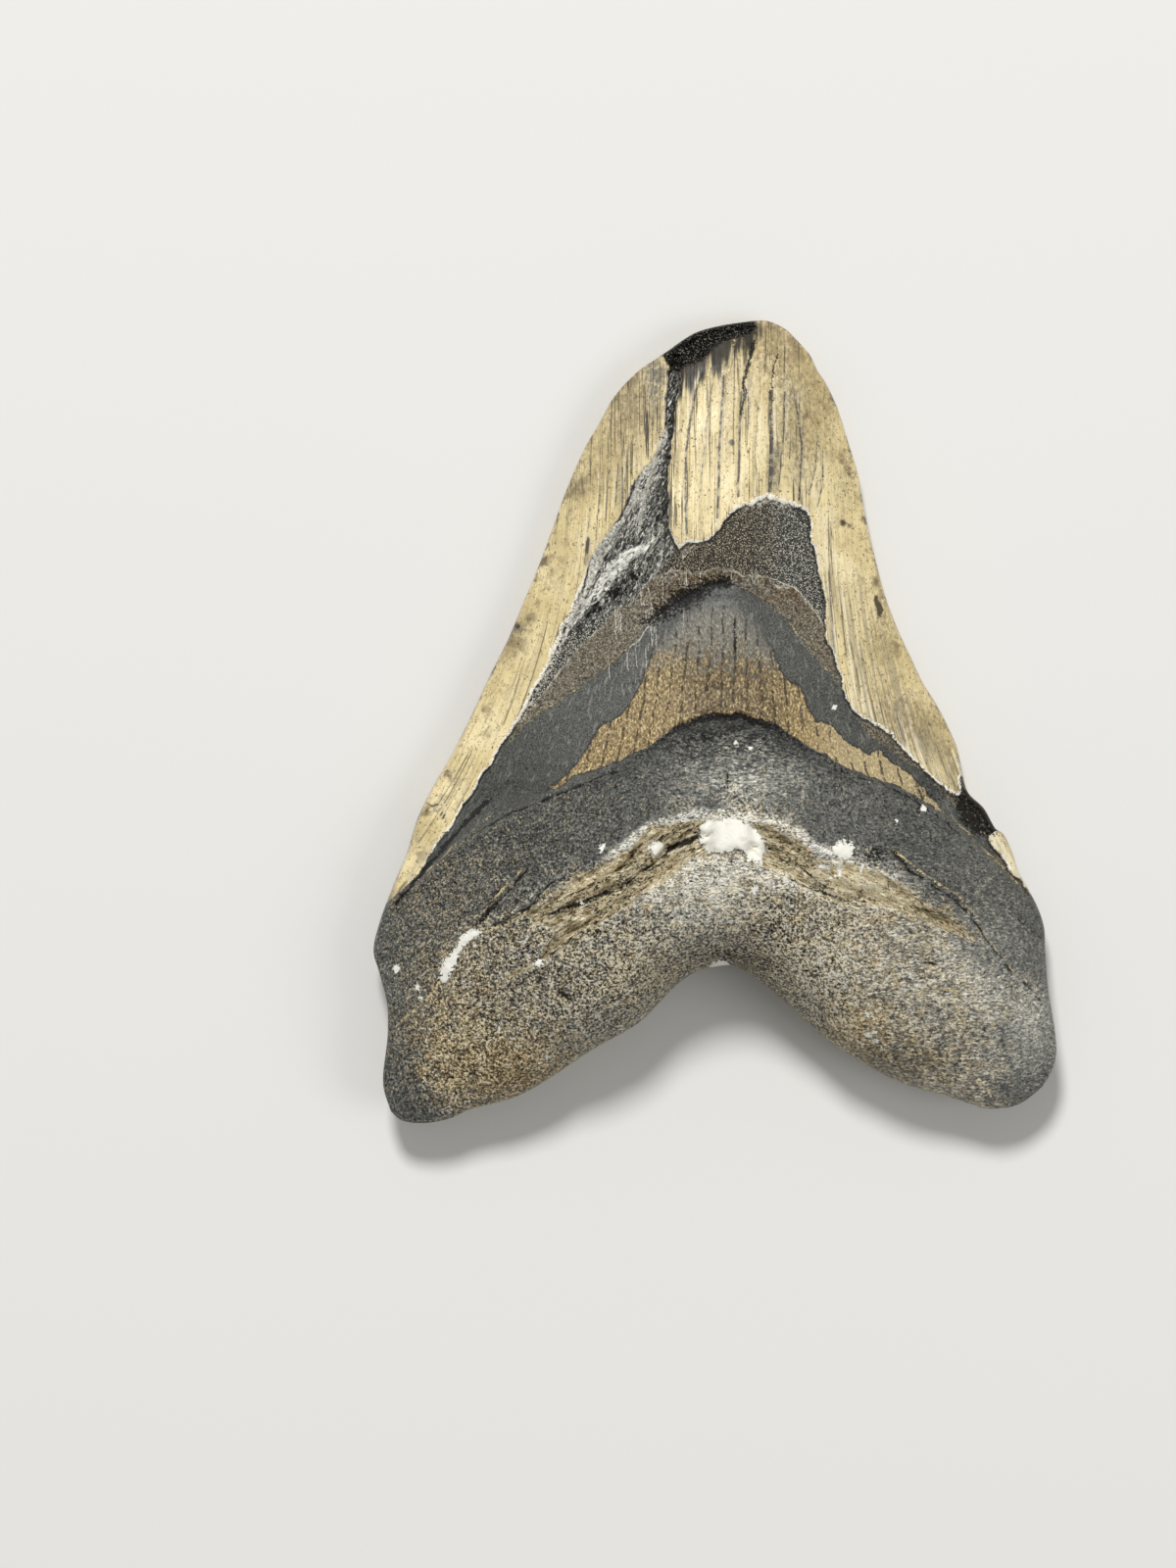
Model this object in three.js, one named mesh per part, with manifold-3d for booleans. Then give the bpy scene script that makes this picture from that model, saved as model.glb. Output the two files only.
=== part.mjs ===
// A fossil megalodon tooth as one solid, lying on its labial face with the lingual face up.
// Millimetres: +X across the tooth, +Y from the root to the tip, +Z up through the lingual face.
import * as THREE from "three";
import { mergeVertices } from "three/addons/utils/BufferGeometryUtils.js";
import Module from "manifold-3d";

// Driving dimensions
const COLUMNS = 52; // cells across the tooth, an even number
const ROWS = 50; // cells from the root to the tip
const CROWDING = 0.4; // how far the cells crowd towards the rim, 0 to 1
const RIM_CROWN = 3.6; // height of the cutting edge over the table
const RIM_ROOT = 9; // height of the root's widest line over the table
const ROUND_CROWN = 0.7; // width of the rounding behind the cutting edge
const ROUND_ROOT = 8.5; // width of the rounding of the root's upper side
const BELLY_CROWN = 13; // width of the rise from the flat labial face to the cutting edge
const BELLY_ROOT = 8; // width of the rise from the flat labial face to the root's widest line
const ENAMEL = 0.9; // depth of the face where the enamel has flaked off
const TIP_BREAK = 1.9; // depth of the break at the tip
const SHOULDER_BREAK = 1.3; // depth of the break on the right shoulder
const COLLAR = 1.1; // rise of the root over the crown at the root line

// Outline, in four runs that meet at the two lobe ends and at both sides of the tip
const LEFT_SIDE = [
  [-51.6, -62.2], [-52.8, -58], [-52.1, -50], [-52.2, -45], [-53.5, -40], [-54.4, -36.8],
  [-53.4, -32], [-51, -25.5], [-49.3, -21.5], [-47.6, -16], [-45.5, -11.5], [-42.5, -6.3],
  [-39.5, -0.5], [-36, 7], [-33, 13], [-30.5, 19], [-27.8, 25.5], [-25.8, 31], [-24, 36],
  [-21, 43], [-18, 48.3], [-16, 51.8], [-12, 56], [-8, 58.6],
];
const RIGHT_SIDE = [
  [52, -58.3], [53.4, -56], [54.2, -53], [54, -49.5], [53, -43], [52.6, -37], [52.5, -33],
  [51.6, -30], [50, -26.8], [48.5, -24], [47.6, -21.2], [46, -18], [45, -17.4], [43, -14],
  [40.5, -11.5], [39.5, -8], [38.8, -4.5], [37.3, -1], [35.5, 2.5], [33.3, 6], [31.5, 9.8],
  [29.3, 14.5], [27.4, 19.5], [26, 24.5], [24.7, 30], [23.6, 35.3], [23, 39], [21.2, 45],
  [19.6, 50], [17.6, 54.2], [16.4, 56], [15.2, 58.5], [13.5, 60.3],
];
const LOWER_SIDE = [
  [-51.6, -62.2], [-50, -63.6], [-46.5, -64.1], [-42, -63.3], [-39.5, -62.1], [-32, -60],
  [-28, -58], [-20, -52.7], [-12, -48], [-9, -45], [-6, -42], [-3, -40], [0, -39.2],
  [2.5, -39], [4, -39.5], [6, -40.7], [12, -45.6], [18, -51], [24, -54.8], [30, -57.8],
  [36, -59.6], [39, -60.5], [42, -61.6], [45, -61.8], [48, -61.2], [50, -60], [52, -58.3],
];
const TIP = [
  [-8, 58.6], [-5.5, 60.5], [-3, 62], [0, 62.9], [4, 63.6], [8, 63.9], [10, 63.3], [12, 62],
  [13.5, 60.3],
];

// Root line, where the crown ends and the root begins on the lingual face
const ROOT_LINE = [
  [-60, -33], [-53, -29.5], [-46, -24], [-40, -18.5], [-34, -15.5], [-26, -11], [-20, -9],
  [-14, -6.5], [-7, -1.5], [-3, 0.6], [0, 1.2], [4, 1], [10, -0.8], [16, -4.8], [21, -7.7],
  [30, -11], [36, -14.5], [42, -19.5], [48, -26], [60, -38],
];

// Heights of the lingual face over the table, x, y, z
const STATIONS = [
  // cutting edges
  [-12, 56, 4.6], [-21, 43, 4.5], [-27.8, 25.5, 4.5], [-33, 13, 4.6], [-39.5, -0.5, 5],
  [-45.5, -11.5, 6], [-50, -23, 8.2], [15.2, 58.5, 4.6], [21.2, 45, 4.5], [25.4, 27, 4.5],
  [29.3, 14.5, 4.6], [35.5, 2.5, 5], [39.5, -8, 6], [47, -20, 8.2],
  // crown
  [4, 63, 5], [4, 57, 8.6], [4, 45, 12.2], [3, 30, 15.4], [2, 15, 17.8], [2, 3, 19],
  [-9, 45, 9.7], [13, 45, 9.9], [-20, 20, 11.2], [-10, 20, 15.1], [12, 20, 15], [18, 20, 11.6],
  [-20, 2, 14.9], [-31, 2, 9.9], [20, 2, 15], [28, 2, 10.4],
  // collar
  [3, -10, 23.4], [-20, -14, 20], [-34, -14, 13.6], [22, -14, 20], [34, -14, 13.4],
  // root boss and lobes
  [3, -20, 27], [3, -30, 25.6], [2, -38.5, 21], [-20, -28, 24.8], [22, -28, 24.8],
  [-48, -30, 12], [-36, -24, 18.2], [-36, -36, 20.6], [-45, -45, 16.6], [-47, -58, 13],
  [-30, -50, 18.2], [-18, -44, 21.4], [47, -30, 12], [36, -24, 18.2], [36, -36, 20.6],
  [46, -45, 16.6], [48, -55, 13], [31, -50, 18.2], [18, -43, 21.4],
];

// Creases in the root: a run of points, the half-width and the depth
const CREASES = [
  { run: [[2, -18.5], [-7, -20], [-10, -22.5], [-18, -27.5], [-26, -31], [-34, -34]], half: 1.7, depth: 1.5 },
  { run: [[4, -20], [10, -20.8], [14, -24.5], [24, -28.4], [36, -32], [42, -35]], half: 1.8, depth: 1.4 },
  { run: [[-30.5, -24.5], [-36.5, -30.7], [-40, -34], [-43.5, -41], [-50, -48]], half: 1.2, depth: 0.8 },
  { run: [[28.5, -21], [35, -26.5], [40.5, -30.5], [44, -36], [52, -45]], half: 1.2, depth: 0.8 },
];

// Flaked face between the enamel strips, down to the root line
const FLAKED = [
  [-6.6, 57.6], [-7.8, 55], [-7.9, 50.5], [-8.2, 47], [-9.4, 42.5], [-11.5, 39.5], [-14.5, 34],
  [-18.5, 28], [-21, 22.5], [-22.5, 18], [-26, 9.5], [-30.5, 1.5], [-34.5, -4.5], [-38, -10.5],
  [-42, -16.7], [-46, -22.5], [-40, -21], [-26, -14], [-14, -9], [-3, -2], [4, -2], [16, -7.5],
  [30, -14], [38.5, -18.5], [43, -19.8], [44.6, -16.2], [41, -10.5], [39.3, -9], [38.6, -12],
  [36, -10.2], [32.7, -7], [29.3, -3.8], [26.5, -0.7], [23.5, 0.3], [21.3, 3], [20, 7.5],
  [18, 12.5], [17.5, 19], [16.3, 25], [15, 32.5], [14.3, 33.8], [11, 34.6], [8.5, 35.7],
  [4.5, 34.5], [2.8, 33.3], [0.7, 30.5], [-2, 28.6], [-4.3, 28.4], [-6, 27.6], [-7.3, 32],
  [-7.2, 40], [-6.5, 48], [-5.8, 52.5], [-5.4, 57.6],
];

// Break at the tip
const TIP_FACET = [
  [-10, 60], [-7.2, 56.4], [-5, 53.6], [-3, 55.5], [0, 58], [3, 60.2], [6, 61], [7, 65.5], [-4, 65.5],
];

const { clamp, lerp, smoothstep } = THREE.MathUtils;

// Curve through a run of points.
function curveOf(run) {
  const curve = new THREE.CatmullRomCurve3(run.map(([x, y]) => new THREE.Vector3(x, y, 0)));
  curve.arcLengthDivisions = 1200;
  return curve;
}

// Fraction along a run for step i of n, crowded towards both ends.
function fraction(i, n) {
  const t = i / n;
  return lerp(t, 0.5 - 0.5 * Math.cos(Math.PI * t), CROWDING);
}

// Points along a run, crowded towards both ends.
function pointsOf(run, n) {
  const curve = curveOf(run);
  return Array.from({ length: n + 1 }, (_, i) => curve.getPointAt(fraction(i, n)));
}

// Distance in plan from a point to the segment from a to b.
function segmentDistance(x, y, a, b) {
  const dx = b[0] - a[0];
  const dy = b[1] - a[1];
  const t = clamp(((x - a[0]) * dx + (y - a[1]) * dy) / (dx * dx + dy * dy), 0, 1);
  return Math.hypot(x - a[0] - t * dx, y - a[1] - t * dy);
}

// Distance in plan from a point to a run of points.
function runDistance(x, y, run) {
  let nearest = Infinity;
  for (let i = 1; i < run.length; i += 1) {
    nearest = Math.min(nearest, segmentDistance(x, y, run[i - 1], run[i]));
  }
  return nearest;
}

// Height of a run over x, read as a broken line.
function lineAt(x, run) {
  const last = run.findIndex((p) => p[0] >= x);
  const i = clamp(last, 1, run.length - 1);
  const t = (x - run[i - 1][0]) / (run[i][0] - run[i - 1][0]);
  return lerp(run[i - 1][1], run[i][1], t);
}

// Unknowns of a square linear system, by elimination with row exchange.
function solve(rows) {
  const n = rows.length;
  for (let c = 0; c < n; c += 1) {
    let pivot = c;
    for (let r = c + 1; r < n; r += 1) {
      pivot = Math.abs(rows[r][c]) > Math.abs(rows[pivot][c]) ? r : pivot;
    }
    [rows[c], rows[pivot]] = [rows[pivot], rows[c]];
    for (let r = 0; r < n; r += 1) {
      const f = r === c ? 0 : rows[r][c] / rows[c][c];
      for (let k = c; f !== 0 && k <= n; k += 1) {
        rows[r][k] -= f * rows[c][k];
      }
    }
  }
  return rows.map((row, i) => row[n] / row[i]);
}

// Smooth surface through the height stations, as a bent thin plate.
function thinPlate(stations) {
  const bend = (r2) => (r2 > 0 ? r2 * Math.log(r2) : 0);
  const terms = (x, y) => [
    ...stations.map((s) => bend((x - s[0]) ** 2 + (y - s[1]) ** 2)),
    1,
    x,
    y,
  ];
  const rows = stations.map((s) => [...terms(s[0], s[1]), s[2]]);
  rows.push([...stations.map(() => 1), 0, 0, 0, 0]);
  rows.push([...stations.map((s) => s[0]), 0, 0, 0, 0]);
  rows.push([...stations.map((s) => s[1]), 0, 0, 0, 0]);
  const weights = solve(rows);
  return (x, y) => terms(x, y).reduce((sum, term, i) => sum + term * weights[i], 0);
}

const plateHeight = thinPlate(STATIONS);

// 0 on the crown, 1 on the root.
function rootShare(x, y) {
  return smoothstep(lineAt(x, ROOT_LINE) - y, -2, 7);
}

// Height of the rim.
function rimHeight(x, y) {
  return lerp(RIM_CROWN, RIM_ROOT, smoothstep(lineAt(x, ROOT_LINE) - y, -8, 16));
}

// Height of the lingual face at a distance d inside the outline.
function faceHeight(x, y, d) {
  const root = rootShare(x, y);
  const rim = rimHeight(x, y);
  const t = 1 - clamp(d / lerp(ROUND_CROWN, ROUND_ROOT, root), 0, 1);
  const collar = COLLAR * smoothstep(lineAt(x, ROOT_LINE) - y, -0.8, 1.6) - COLLAR * root;
  const groove = CREASES.reduce(
    (sum, c) => sum + c.depth * Math.exp(-((runDistance(x, y, c.run) / c.half) ** 2)),
    0,
  );
  const inland = smoothstep(d, 0, 4);
  return rim + (plateHeight(x, y) + inland * (collar - groove) - rim) * Math.sqrt(1 - t * t);
}

// Height of the labial face at a distance d inside the outline: flat, and turned up near the rim.
function backHeight(x, y, d) {
  const root = rootShare(x, y);
  const rim = rimHeight(x, y);
  const sharp = 1 - clamp(d / BELLY_CROWN, 0, 1);
  const round = 1 - clamp(d / BELLY_ROOT, 0, 1);
  return rim * lerp(sharp * sharp, 1 - Math.sqrt(1 - round * round), root);
}

// Plan of the tooth: a patch blended between the four runs of the outline.
const left = pointsOf(LEFT_SIDE, ROWS);
const right = pointsOf(RIGHT_SIDE, ROWS);
const lower = pointsOf(LOWER_SIDE, COLUMNS);
const upper = pointsOf(TIP, COLUMNS);
const outline = [
  ...lower,
  ...right.slice(1),
  ...upper.slice(0, -1).reverse(),
  ...left.slice(0, -1).reverse(),
].map((p) => [p.x, p.y]);

function planPoint(i, j) {
  const u = fraction(i, COLUMNS);
  const v = fraction(j, ROWS);
  const blend = (key) =>
    lerp(lower[i][key], upper[i][key], v) +
    lerp(left[j][key], right[j][key], u) -
    lerp(lerp(left[0][key], right[0][key], u), lerp(left[ROWS][key], right[ROWS][key], u), v);
  return [blend("x"), blend("y")];
}

// Closed body between the two faces. sink lowers the lingual face, drop lowers the labial face.
function bodyGeometry(sink, drop) {
  const points = [];
  const faces = [];
  const front = [];
  const back = [];
  for (let j = 0; j <= ROWS; j += 1) {
    for (let i = 0; i <= COLUMNS; i += 1) {
      const [x, y] = planPoint(i, j);
      const onRim = i === 0 || j === 0 || i === COLUMNS || j === ROWS;
      const d = onRim ? 0 : runDistance(x, y, outline);
      front.push(points.push(new THREE.Vector3(x, y, faceHeight(x, y, d) - sink(x, y))) - 1);
      back.push(onRim ? front.at(-1) : points.push(new THREE.Vector3(x, y, backHeight(x, y, d) - drop)) - 1);
    }
  }
  const at = (list, i, j) => list[j * (COLUMNS + 1) + i];
  for (let j = 0; j < ROWS; j += 1) {
    for (let i = 0; i < COLUMNS; i += 1) {
      const quad = [at(front, i, j), at(front, i + 1, j), at(front, i + 1, j + 1), at(front, i, j + 1)];
      faces.push(quad[0], quad[1], quad[2], quad[0], quad[2], quad[3]);
    }
    for (let i = 0; i < COLUMNS; i += 2) {
      const low = j === 0 ? [at(back, i + 1, j)] : [];
      const high = j === ROWS - 1 ? [at(back, i + 1, j + 1)] : [];
      const ring = [
        at(back, i, j + 1), ...high, at(back, i + 2, j + 1), at(back, i + 2, j), ...low, at(back, i, j),
      ];
      const start = high.length ? 1 : ring.length - (low.length ? 2 : 1);
      for (let k = 1; k < ring.length - 1; k += 1) {
        faces.push(
          ring[start],
          ring[(start + k) % ring.length],
          ring[(start + k + 1) % ring.length],
        );
      }
    }
  }
  return new THREE.BufferGeometry().setFromPoints(points).setIndex(faces);
}

// Upright prism over a plan shape, tall enough to clear the tooth.
function prismGeometry(shape) {
  const plan = new THREE.Shape(shape.map(([x, y]) => new THREE.Vector2(x, y)));
  return new THREE.ExtrudeGeometry(plan, { depth: 60, bevelEnabled: false }).translate(0, 0, -20);
}

const wasm = await Module();
wasm.setup();

// Solid of a closed geometry.
function solidOf(geometry) {
  geometry.deleteAttribute("normal");
  geometry.deleteAttribute("uv");
  const merged = mergeVertices(geometry, 1e-4);
  return new wasm.Manifold(
    new wasm.Mesh({
      numProp: 3,
      vertProperties: new Float32Array(merged.attributes.position.array),
      triVerts: new Uint32Array(merged.index.array),
    }),
  );
}

// Depth of the flaked face, running out at the root line and deeper on the broken right shoulder.
function flakeDepth(x, y) {
  const runOut = smoothstep(y - lineAt(x, ROOT_LINE), -0.5, 4);
  const shoulder = smoothstep(x, 36, 40) * smoothstep(-y, 7, 10);
  return Math.max(ENAMEL * runOut, SHOULDER_BREAK * shoulder) - 0.02;
}

const whole = solidOf(bodyGeometry(() => 0, 0));
const flaked = solidOf(bodyGeometry(flakeDepth, 30));
const broken = solidOf(bodyGeometry(() => TIP_BREAK, 30));
const peel = solidOf(prismGeometry(FLAKED)).subtract(flaked);
const chip = solidOf(prismGeometry(TIP_FACET)).subtract(broken);
const cut = whole.subtract(peel).subtract(chip).getMesh();

const geometry = new THREE.BufferGeometry();
geometry.setAttribute("position", new THREE.BufferAttribute(cut.vertProperties, 3));
geometry.setIndex(new THREE.BufferAttribute(cut.triVerts, 1));
geometry.computeVertexNormals();

const fossil = new THREE.MeshStandardMaterial({ color: 0x6b6455, roughness: 0.55 });
const tooth = new THREE.Mesh(geometry, fossil);
tooth.name = "tooth";

const part = new THREE.Group();
part.add(tooth);
export default part;
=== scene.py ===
"""Looks of a fossil megalodon tooth that lies on its labial face, seen from above.

The tooth is one closed surface over a plan patch. Lengths are millimetres until a mesh is written.
Markings are drawn on a sighting plane just over the table, as the camera sees them, and are carried
along the sight lines to the surface.
"""

import logging
from dataclasses import dataclass
from enum import Enum

import bpy
import numpy as np
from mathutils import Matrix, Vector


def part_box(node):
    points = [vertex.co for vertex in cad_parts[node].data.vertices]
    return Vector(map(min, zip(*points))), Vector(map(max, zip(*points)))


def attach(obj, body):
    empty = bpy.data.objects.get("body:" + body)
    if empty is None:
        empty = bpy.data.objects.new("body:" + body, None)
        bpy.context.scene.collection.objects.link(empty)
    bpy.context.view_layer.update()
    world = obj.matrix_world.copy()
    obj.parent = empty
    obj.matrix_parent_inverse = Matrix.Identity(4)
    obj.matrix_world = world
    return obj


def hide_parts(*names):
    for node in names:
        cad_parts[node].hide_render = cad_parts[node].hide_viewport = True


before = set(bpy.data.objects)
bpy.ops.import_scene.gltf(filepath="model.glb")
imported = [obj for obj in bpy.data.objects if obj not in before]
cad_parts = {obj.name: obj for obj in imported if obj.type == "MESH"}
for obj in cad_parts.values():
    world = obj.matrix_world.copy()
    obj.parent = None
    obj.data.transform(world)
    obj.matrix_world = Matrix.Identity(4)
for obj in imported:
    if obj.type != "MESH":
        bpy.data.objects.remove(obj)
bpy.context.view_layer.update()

LOG = logging.getLogger("tooth")
MM = 0.001
ROUGH_PEAK = 1.4
Array = np.ndarray
Point = tuple[float, float]
Run = tuple[Point, ...]
Strokes = tuple[tuple[float, Run], ...]
Zones = tuple[tuple[float, float, float, float, float], ...]
Colour = tuple[float, float, float, float]
Stops = tuple[tuple[float, Colour], ...]
Socket = bpy.types.NodeSocket


# Numbers and fields


def smooth(value: Array, low: float, high: float) -> Array:
    """Smooth step: 0 below low, 1 above high, a cubic in between.

    Args:
        value: Values to test.
        low: Where the step starts.
        high: Where the step ends.

    Returns:
        The step at each value.
    """
    t = np.clip((value - low) / (high - low), 0.0, 1.0)
    return t * t * (3.0 - 2.0 * t)


def bell(value: Array, half: "Array | float") -> Array:
    """Bell curve of half-width half, 1 at 0: exp(-(value / half) squared)."""
    return np.exp(-((value / half) ** 2))


def lattice_noise(points: Array, seed: int) -> Array:
    """Smooth random field: hashed values at whole-number points, blended with a quintic fade.

    Args:
        points: Places, one row each, in lattice units.
        seed: Picks the field.

    Returns:
        Values from -1 to 1.
    """
    cell = np.floor(points).astype(np.int64)
    part = points - cell
    fade = part**3 * (part * (part * 6.0 - 15.0) + 10.0)
    total = np.zeros(len(points))
    for corner in np.ndindex(2, 2, 2):
        at = cell + np.array(corner)
        key = at[:, 0] * 374761393 + at[:, 1] * 668265263 + at[:, 2] * 1442695041 + seed * 974634777
        key = (key ^ (key >> 13)) * 1274126177
        key = (key ^ (key >> 16)) & 0xFFFF
        weight = np.prod(np.where(np.array(corner), fade, 1.0 - fade), axis=1)
        total += weight * (key / 32767.5 - 1.0)
    return total


def rough(points: Array, per_mm: float, octaves: int, seed: int) -> Array:
    """Fractal sum of lattice noise: each octave is twice as fine and half as high.

    Args:
        points: Places in millimetres, one row each.
        per_mm: Lumps per millimetre of the first octave.
        octaves: How many octaves are summed.
        seed: Picks the field.

    Returns:
        Values of about -1 to 1.
    """
    layers = (lattice_noise(points * (per_mm * 2.0**k), seed + k) * 0.5**k for k in range(octaves))
    return sum(layers) / ROUGH_PEAK


def spline(run: Run, fractions: Array) -> Array:
    """Centripetal Catmull-Rom curve through a run of points, read at fractions of its length.

    Args:
        run: Points of the run.
        fractions: Where to read it, 0 to 1.

    Returns:
        One row of x, y for each fraction.
    """
    p = np.array(run, float)
    p = np.vstack([2.0 * p[0] - p[1], p, 2.0 * p[-1] - p[-2]])
    p0, p1, p2, p3 = p[:-3], p[1:-2], p[2:-1], p[3:]
    knots = [np.sqrt(np.linalg.norm(b - a, axis=1)) for a, b in ((p0, p1), (p1, p2), (p2, p3))]
    d0, d1, d2 = (k[:, None] for k in knots)
    start = ((p1 - p0) / d0 - (p2 - p0) / (d0 + d1) + (p2 - p1) / d1) * d1
    end = ((p2 - p1) / d1 - (p3 - p1) / (d1 + d2) + (p3 - p2) / d2) * d1
    t = np.linspace(0.0, 1.0, 41)[None, :-1, None]
    a, b, s, e = (q[:, None, :] for q in (p1, p2, start, end))
    curve = a + s * t + (3.0 * (b - a) - 2.0 * s - e) * t**2 + (s + e - 2.0 * (b - a)) * t**3
    dense = np.vstack([curve.reshape(-1, 2), p2[-1]])
    length = np.concatenate([[0.0], np.cumsum(np.linalg.norm(np.diff(dense, axis=0), axis=1))])
    return np.column_stack([np.interp(fractions * length[-1], length, dense[:, k]) for k in (0, 1)])


def to_line(x: Array, y: Array, line: Array) -> tuple[Array, Array, Array]:
    """Distance from points to a broken line: the nearest of its segments.

    Args:
        x: Points across.
        y: Points along.
        line: Corners of the line, one row each.

    Returns:
        The distance, its sign by side of the line, and the length run along the line.
    """
    best = np.full(x.shape, np.inf)
    side = np.ones(x.shape)
    along = np.zeros(x.shape)
    run = 0.0
    for a, b in zip(line[:-1], line[1:]):
        step = b - a
        size = float(np.hypot(*step))
        t = np.clip(((x - a[0]) * step[0] + (y - a[1]) * step[1]) / size**2, 0.0, 1.0)
        dx, dy = x - a[0] - t * step[0], y - a[1] - t * step[1]
        gap = np.hypot(dx, dy)
        near = gap < best
        best = np.where(near, gap, best)
        side = np.where(near, np.sign(step[0] * dy - step[1] * dx), side)
        along = np.where(near, run + t * size, along)
        run += size
    return best, side, along


def inside(x: Array, y: Array, ring: Run) -> Array:
    """Signed distance to a closed ring, positive inside, by distance and crossing count.

    Args:
        x: Points across.
        y: Points along.
        ring: Corners of the ring.

    Returns:
        The signed distance in millimetres.
    """
    corners = np.array(ring + ring[:1], float)
    gap = to_line(x, y, corners)[0]
    odd = np.zeros(x.shape, bool)
    for (ax, ay), (bx, by) in zip(corners[:-1], corners[1:]):
        if ay != by:
            odd ^= ((ay > y) != (by > y)) & (x < (bx - ax) * (y - ay) / (by - ay) + ax)
    return np.where(odd, gap, -gap)


def strokes(x: Array, y: Array, lines: Strokes) -> Array:
    """Field of drawn lines: signed distance, plain distance and half-width of the nearest line.

    Args:
        x: Points across.
        y: Points along.
        lines: Half-width and points of each line.

    Returns:
        One row of the three values for each point.
    """
    signed, plain, width = np.full(x.shape, 9.0), np.full(x.shape, 9.0), np.full(x.shape, 0.1)
    for half, run in lines:
        gap, side, _ = to_line(x, y, np.array(run, float))
        near = gap - half < plain - width
        signed = np.where(near, gap * side, signed)
        plain = np.where(near, gap, plain)
        width = np.where(near, half, width)
    return np.column_stack([signed, plain, width])


def stains(x: Array, y: Array, spots: Zones) -> Array:
    """Sum of soft oval stains, from -1 to 1.

    Args:
        x: Points across.
        y: Points along.
        spots: Centre across and along, half-width, half-height and strength of each stain.

    Returns:
        The strength at each point.
    """
    total = np.zeros(x.shape)
    for cx, cy, rx, ry, strength in spots:
        total += strength * np.exp(-(((x - cx) / rx) ** 2) - ((y - cy) / ry) ** 2)
    return np.clip(total, -1.0, 1.0)


# Shape


@dataclass(frozen=True)
class Sight:
    """The camera's line of sight, straight down on the table."""

    frame_px: tuple[int, int] = (1200, 1600)
    px_per_mm: float = 6.4
    origin_px: tuple[float, float] = (729.5, 735.0)
    plane: float = 6.0
    height: float = 1000.0
    sensor: float = 36.0

    @property
    def axis(self) -> Point:
        """Where the middle of the picture meets the sighting plane."""
        return (
            (self.frame_px[0] / 2 - self.origin_px[0]) / self.px_per_mm,
            (self.origin_px[1] - self.frame_px[1] / 2) / self.px_per_mm,
        )

    @property
    def lens(self) -> float:
        """Focal length that shows the sighting plane at the stated scale."""
        return self.sensor * (self.height - self.plane) * self.px_per_mm / self.frame_px[1]

    def flatten(self, x: Array, y: Array, z: Array) -> tuple[Array, Array]:
        """Carries points along their sight lines to the sighting plane.

        Args:
            x: Points across.
            y: Points along.
            z: Heights.

        Returns:
            The places on the plane.
        """
        share = (self.height - self.plane) / (self.height - z)
        ax, ay = self.axis
        return ax + (x - ax) * share, ay + (y - ay) * share


@dataclass(frozen=True)
class ToothPlan:
    """Outline of the tooth in four runs, and the patch blended between them."""

    columns: int = 240
    rows: int = 272
    crowding: float = 0.4
    left: Run = (
        (-51.6, -62.2), (-52.8, -58), (-52.1, -50), (-52.2, -45), (-53.5, -40), (-54.4, -36.8),
        (-53.4, -32), (-51, -25.5), (-49.3, -21.5), (-47.6, -16), (-45.5, -11.5), (-42.5, -6.3),
        (-39.5, -0.5), (-36, 7), (-33, 13), (-30.5, 19), (-27.8, 25.5), (-25.8, 31), (-24, 36),
        (-21, 43), (-18, 48.3), (-16, 51.8), (-12, 56), (-8, 58.6),
    )  # fmt: skip
    right: Run = (
        (52, -58.3), (53.4, -56), (54.2, -53), (54, -49.5), (53, -43), (52.6, -37), (52.5, -33),
        (51.6, -30), (50, -26.8), (48.5, -24), (47.6, -21.2), (46, -18), (45, -17.4), (43, -14),
        (40.5, -11.5), (39.5, -8), (38.8, -4.5), (37.3, -1), (35.5, 2.5), (33.3, 6), (31.5, 9.8),
        (29.3, 14.5), (27.4, 19.5), (26, 24.5), (24.7, 30), (23.6, 35.3), (23, 39), (21.2, 45),
        (19.6, 50), (17.6, 54.2), (16.4, 56), (15.2, 58.5), (13.5, 60.3),
    )  # fmt: skip
    lower: Run = (
        (-51.6, -62.2), (-50, -63.6), (-46.5, -64.1), (-42, -63.3), (-39.5, -62.1), (-32, -60),
        (-28, -58), (-20, -52.7), (-12, -48), (-9, -45), (-6, -42), (-3, -40), (0, -39.2),
        (2.5, -39), (4, -39.5), (6, -40.7), (12, -45.6), (18, -51), (24, -54.8), (30, -57.8),
        (36, -59.6), (39, -60.5), (42, -61.6), (45, -61.8), (48, -61.2), (50, -60), (52, -58.3),
    )  # fmt: skip
    tip: Run = (
        (-8, 58.6), (-5.5, 60.5), (-3, 62), (0, 62.9), (4, 63.6), (8, 63.9), (10, 63.3), (12, 62),
        (13.5, 60.3),
    )  # fmt: skip

    def fractions(self, count: int) -> Array:
        """Steps from 0 to 1 that crowd towards both ends, a blend of a line and a cosine."""
        t = np.linspace(0.0, 1.0, count + 1)
        return t + self.crowding * (0.5 - 0.5 * np.cos(np.pi * t) - t)

    def patch(self) -> tuple[Array, Array, Array]:
        """Blends the four runs: the sum of the two straight blends less the blend of the corners.

        Returns:
            Grids of x and of y by row and column, and the outline as a closed line.
        """
        u, v = self.fractions(self.columns), self.fractions(self.rows)
        low, top = spline(self.lower, u), spline(self.tip, u)
        left, right = spline(self.left, v), spline(self.right, v)
        s, t = u[None, :, None], v[:, None, None]
        across = (1 - s) * left[:, None] + s * right[:, None]
        up = (1 - t) * low[None] + t * top[None]
        low_corners = (1 - s) * left[0] + s * right[0]
        top_corners = (1 - s) * left[-1] + s * right[-1]
        grid = across + up - ((1 - t) * low_corners + t * top_corners)
        outline = np.vstack([low, right[1:], top[-2::-1], left[-2::-1]])
        return grid[..., 0], grid[..., 1], outline


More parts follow.
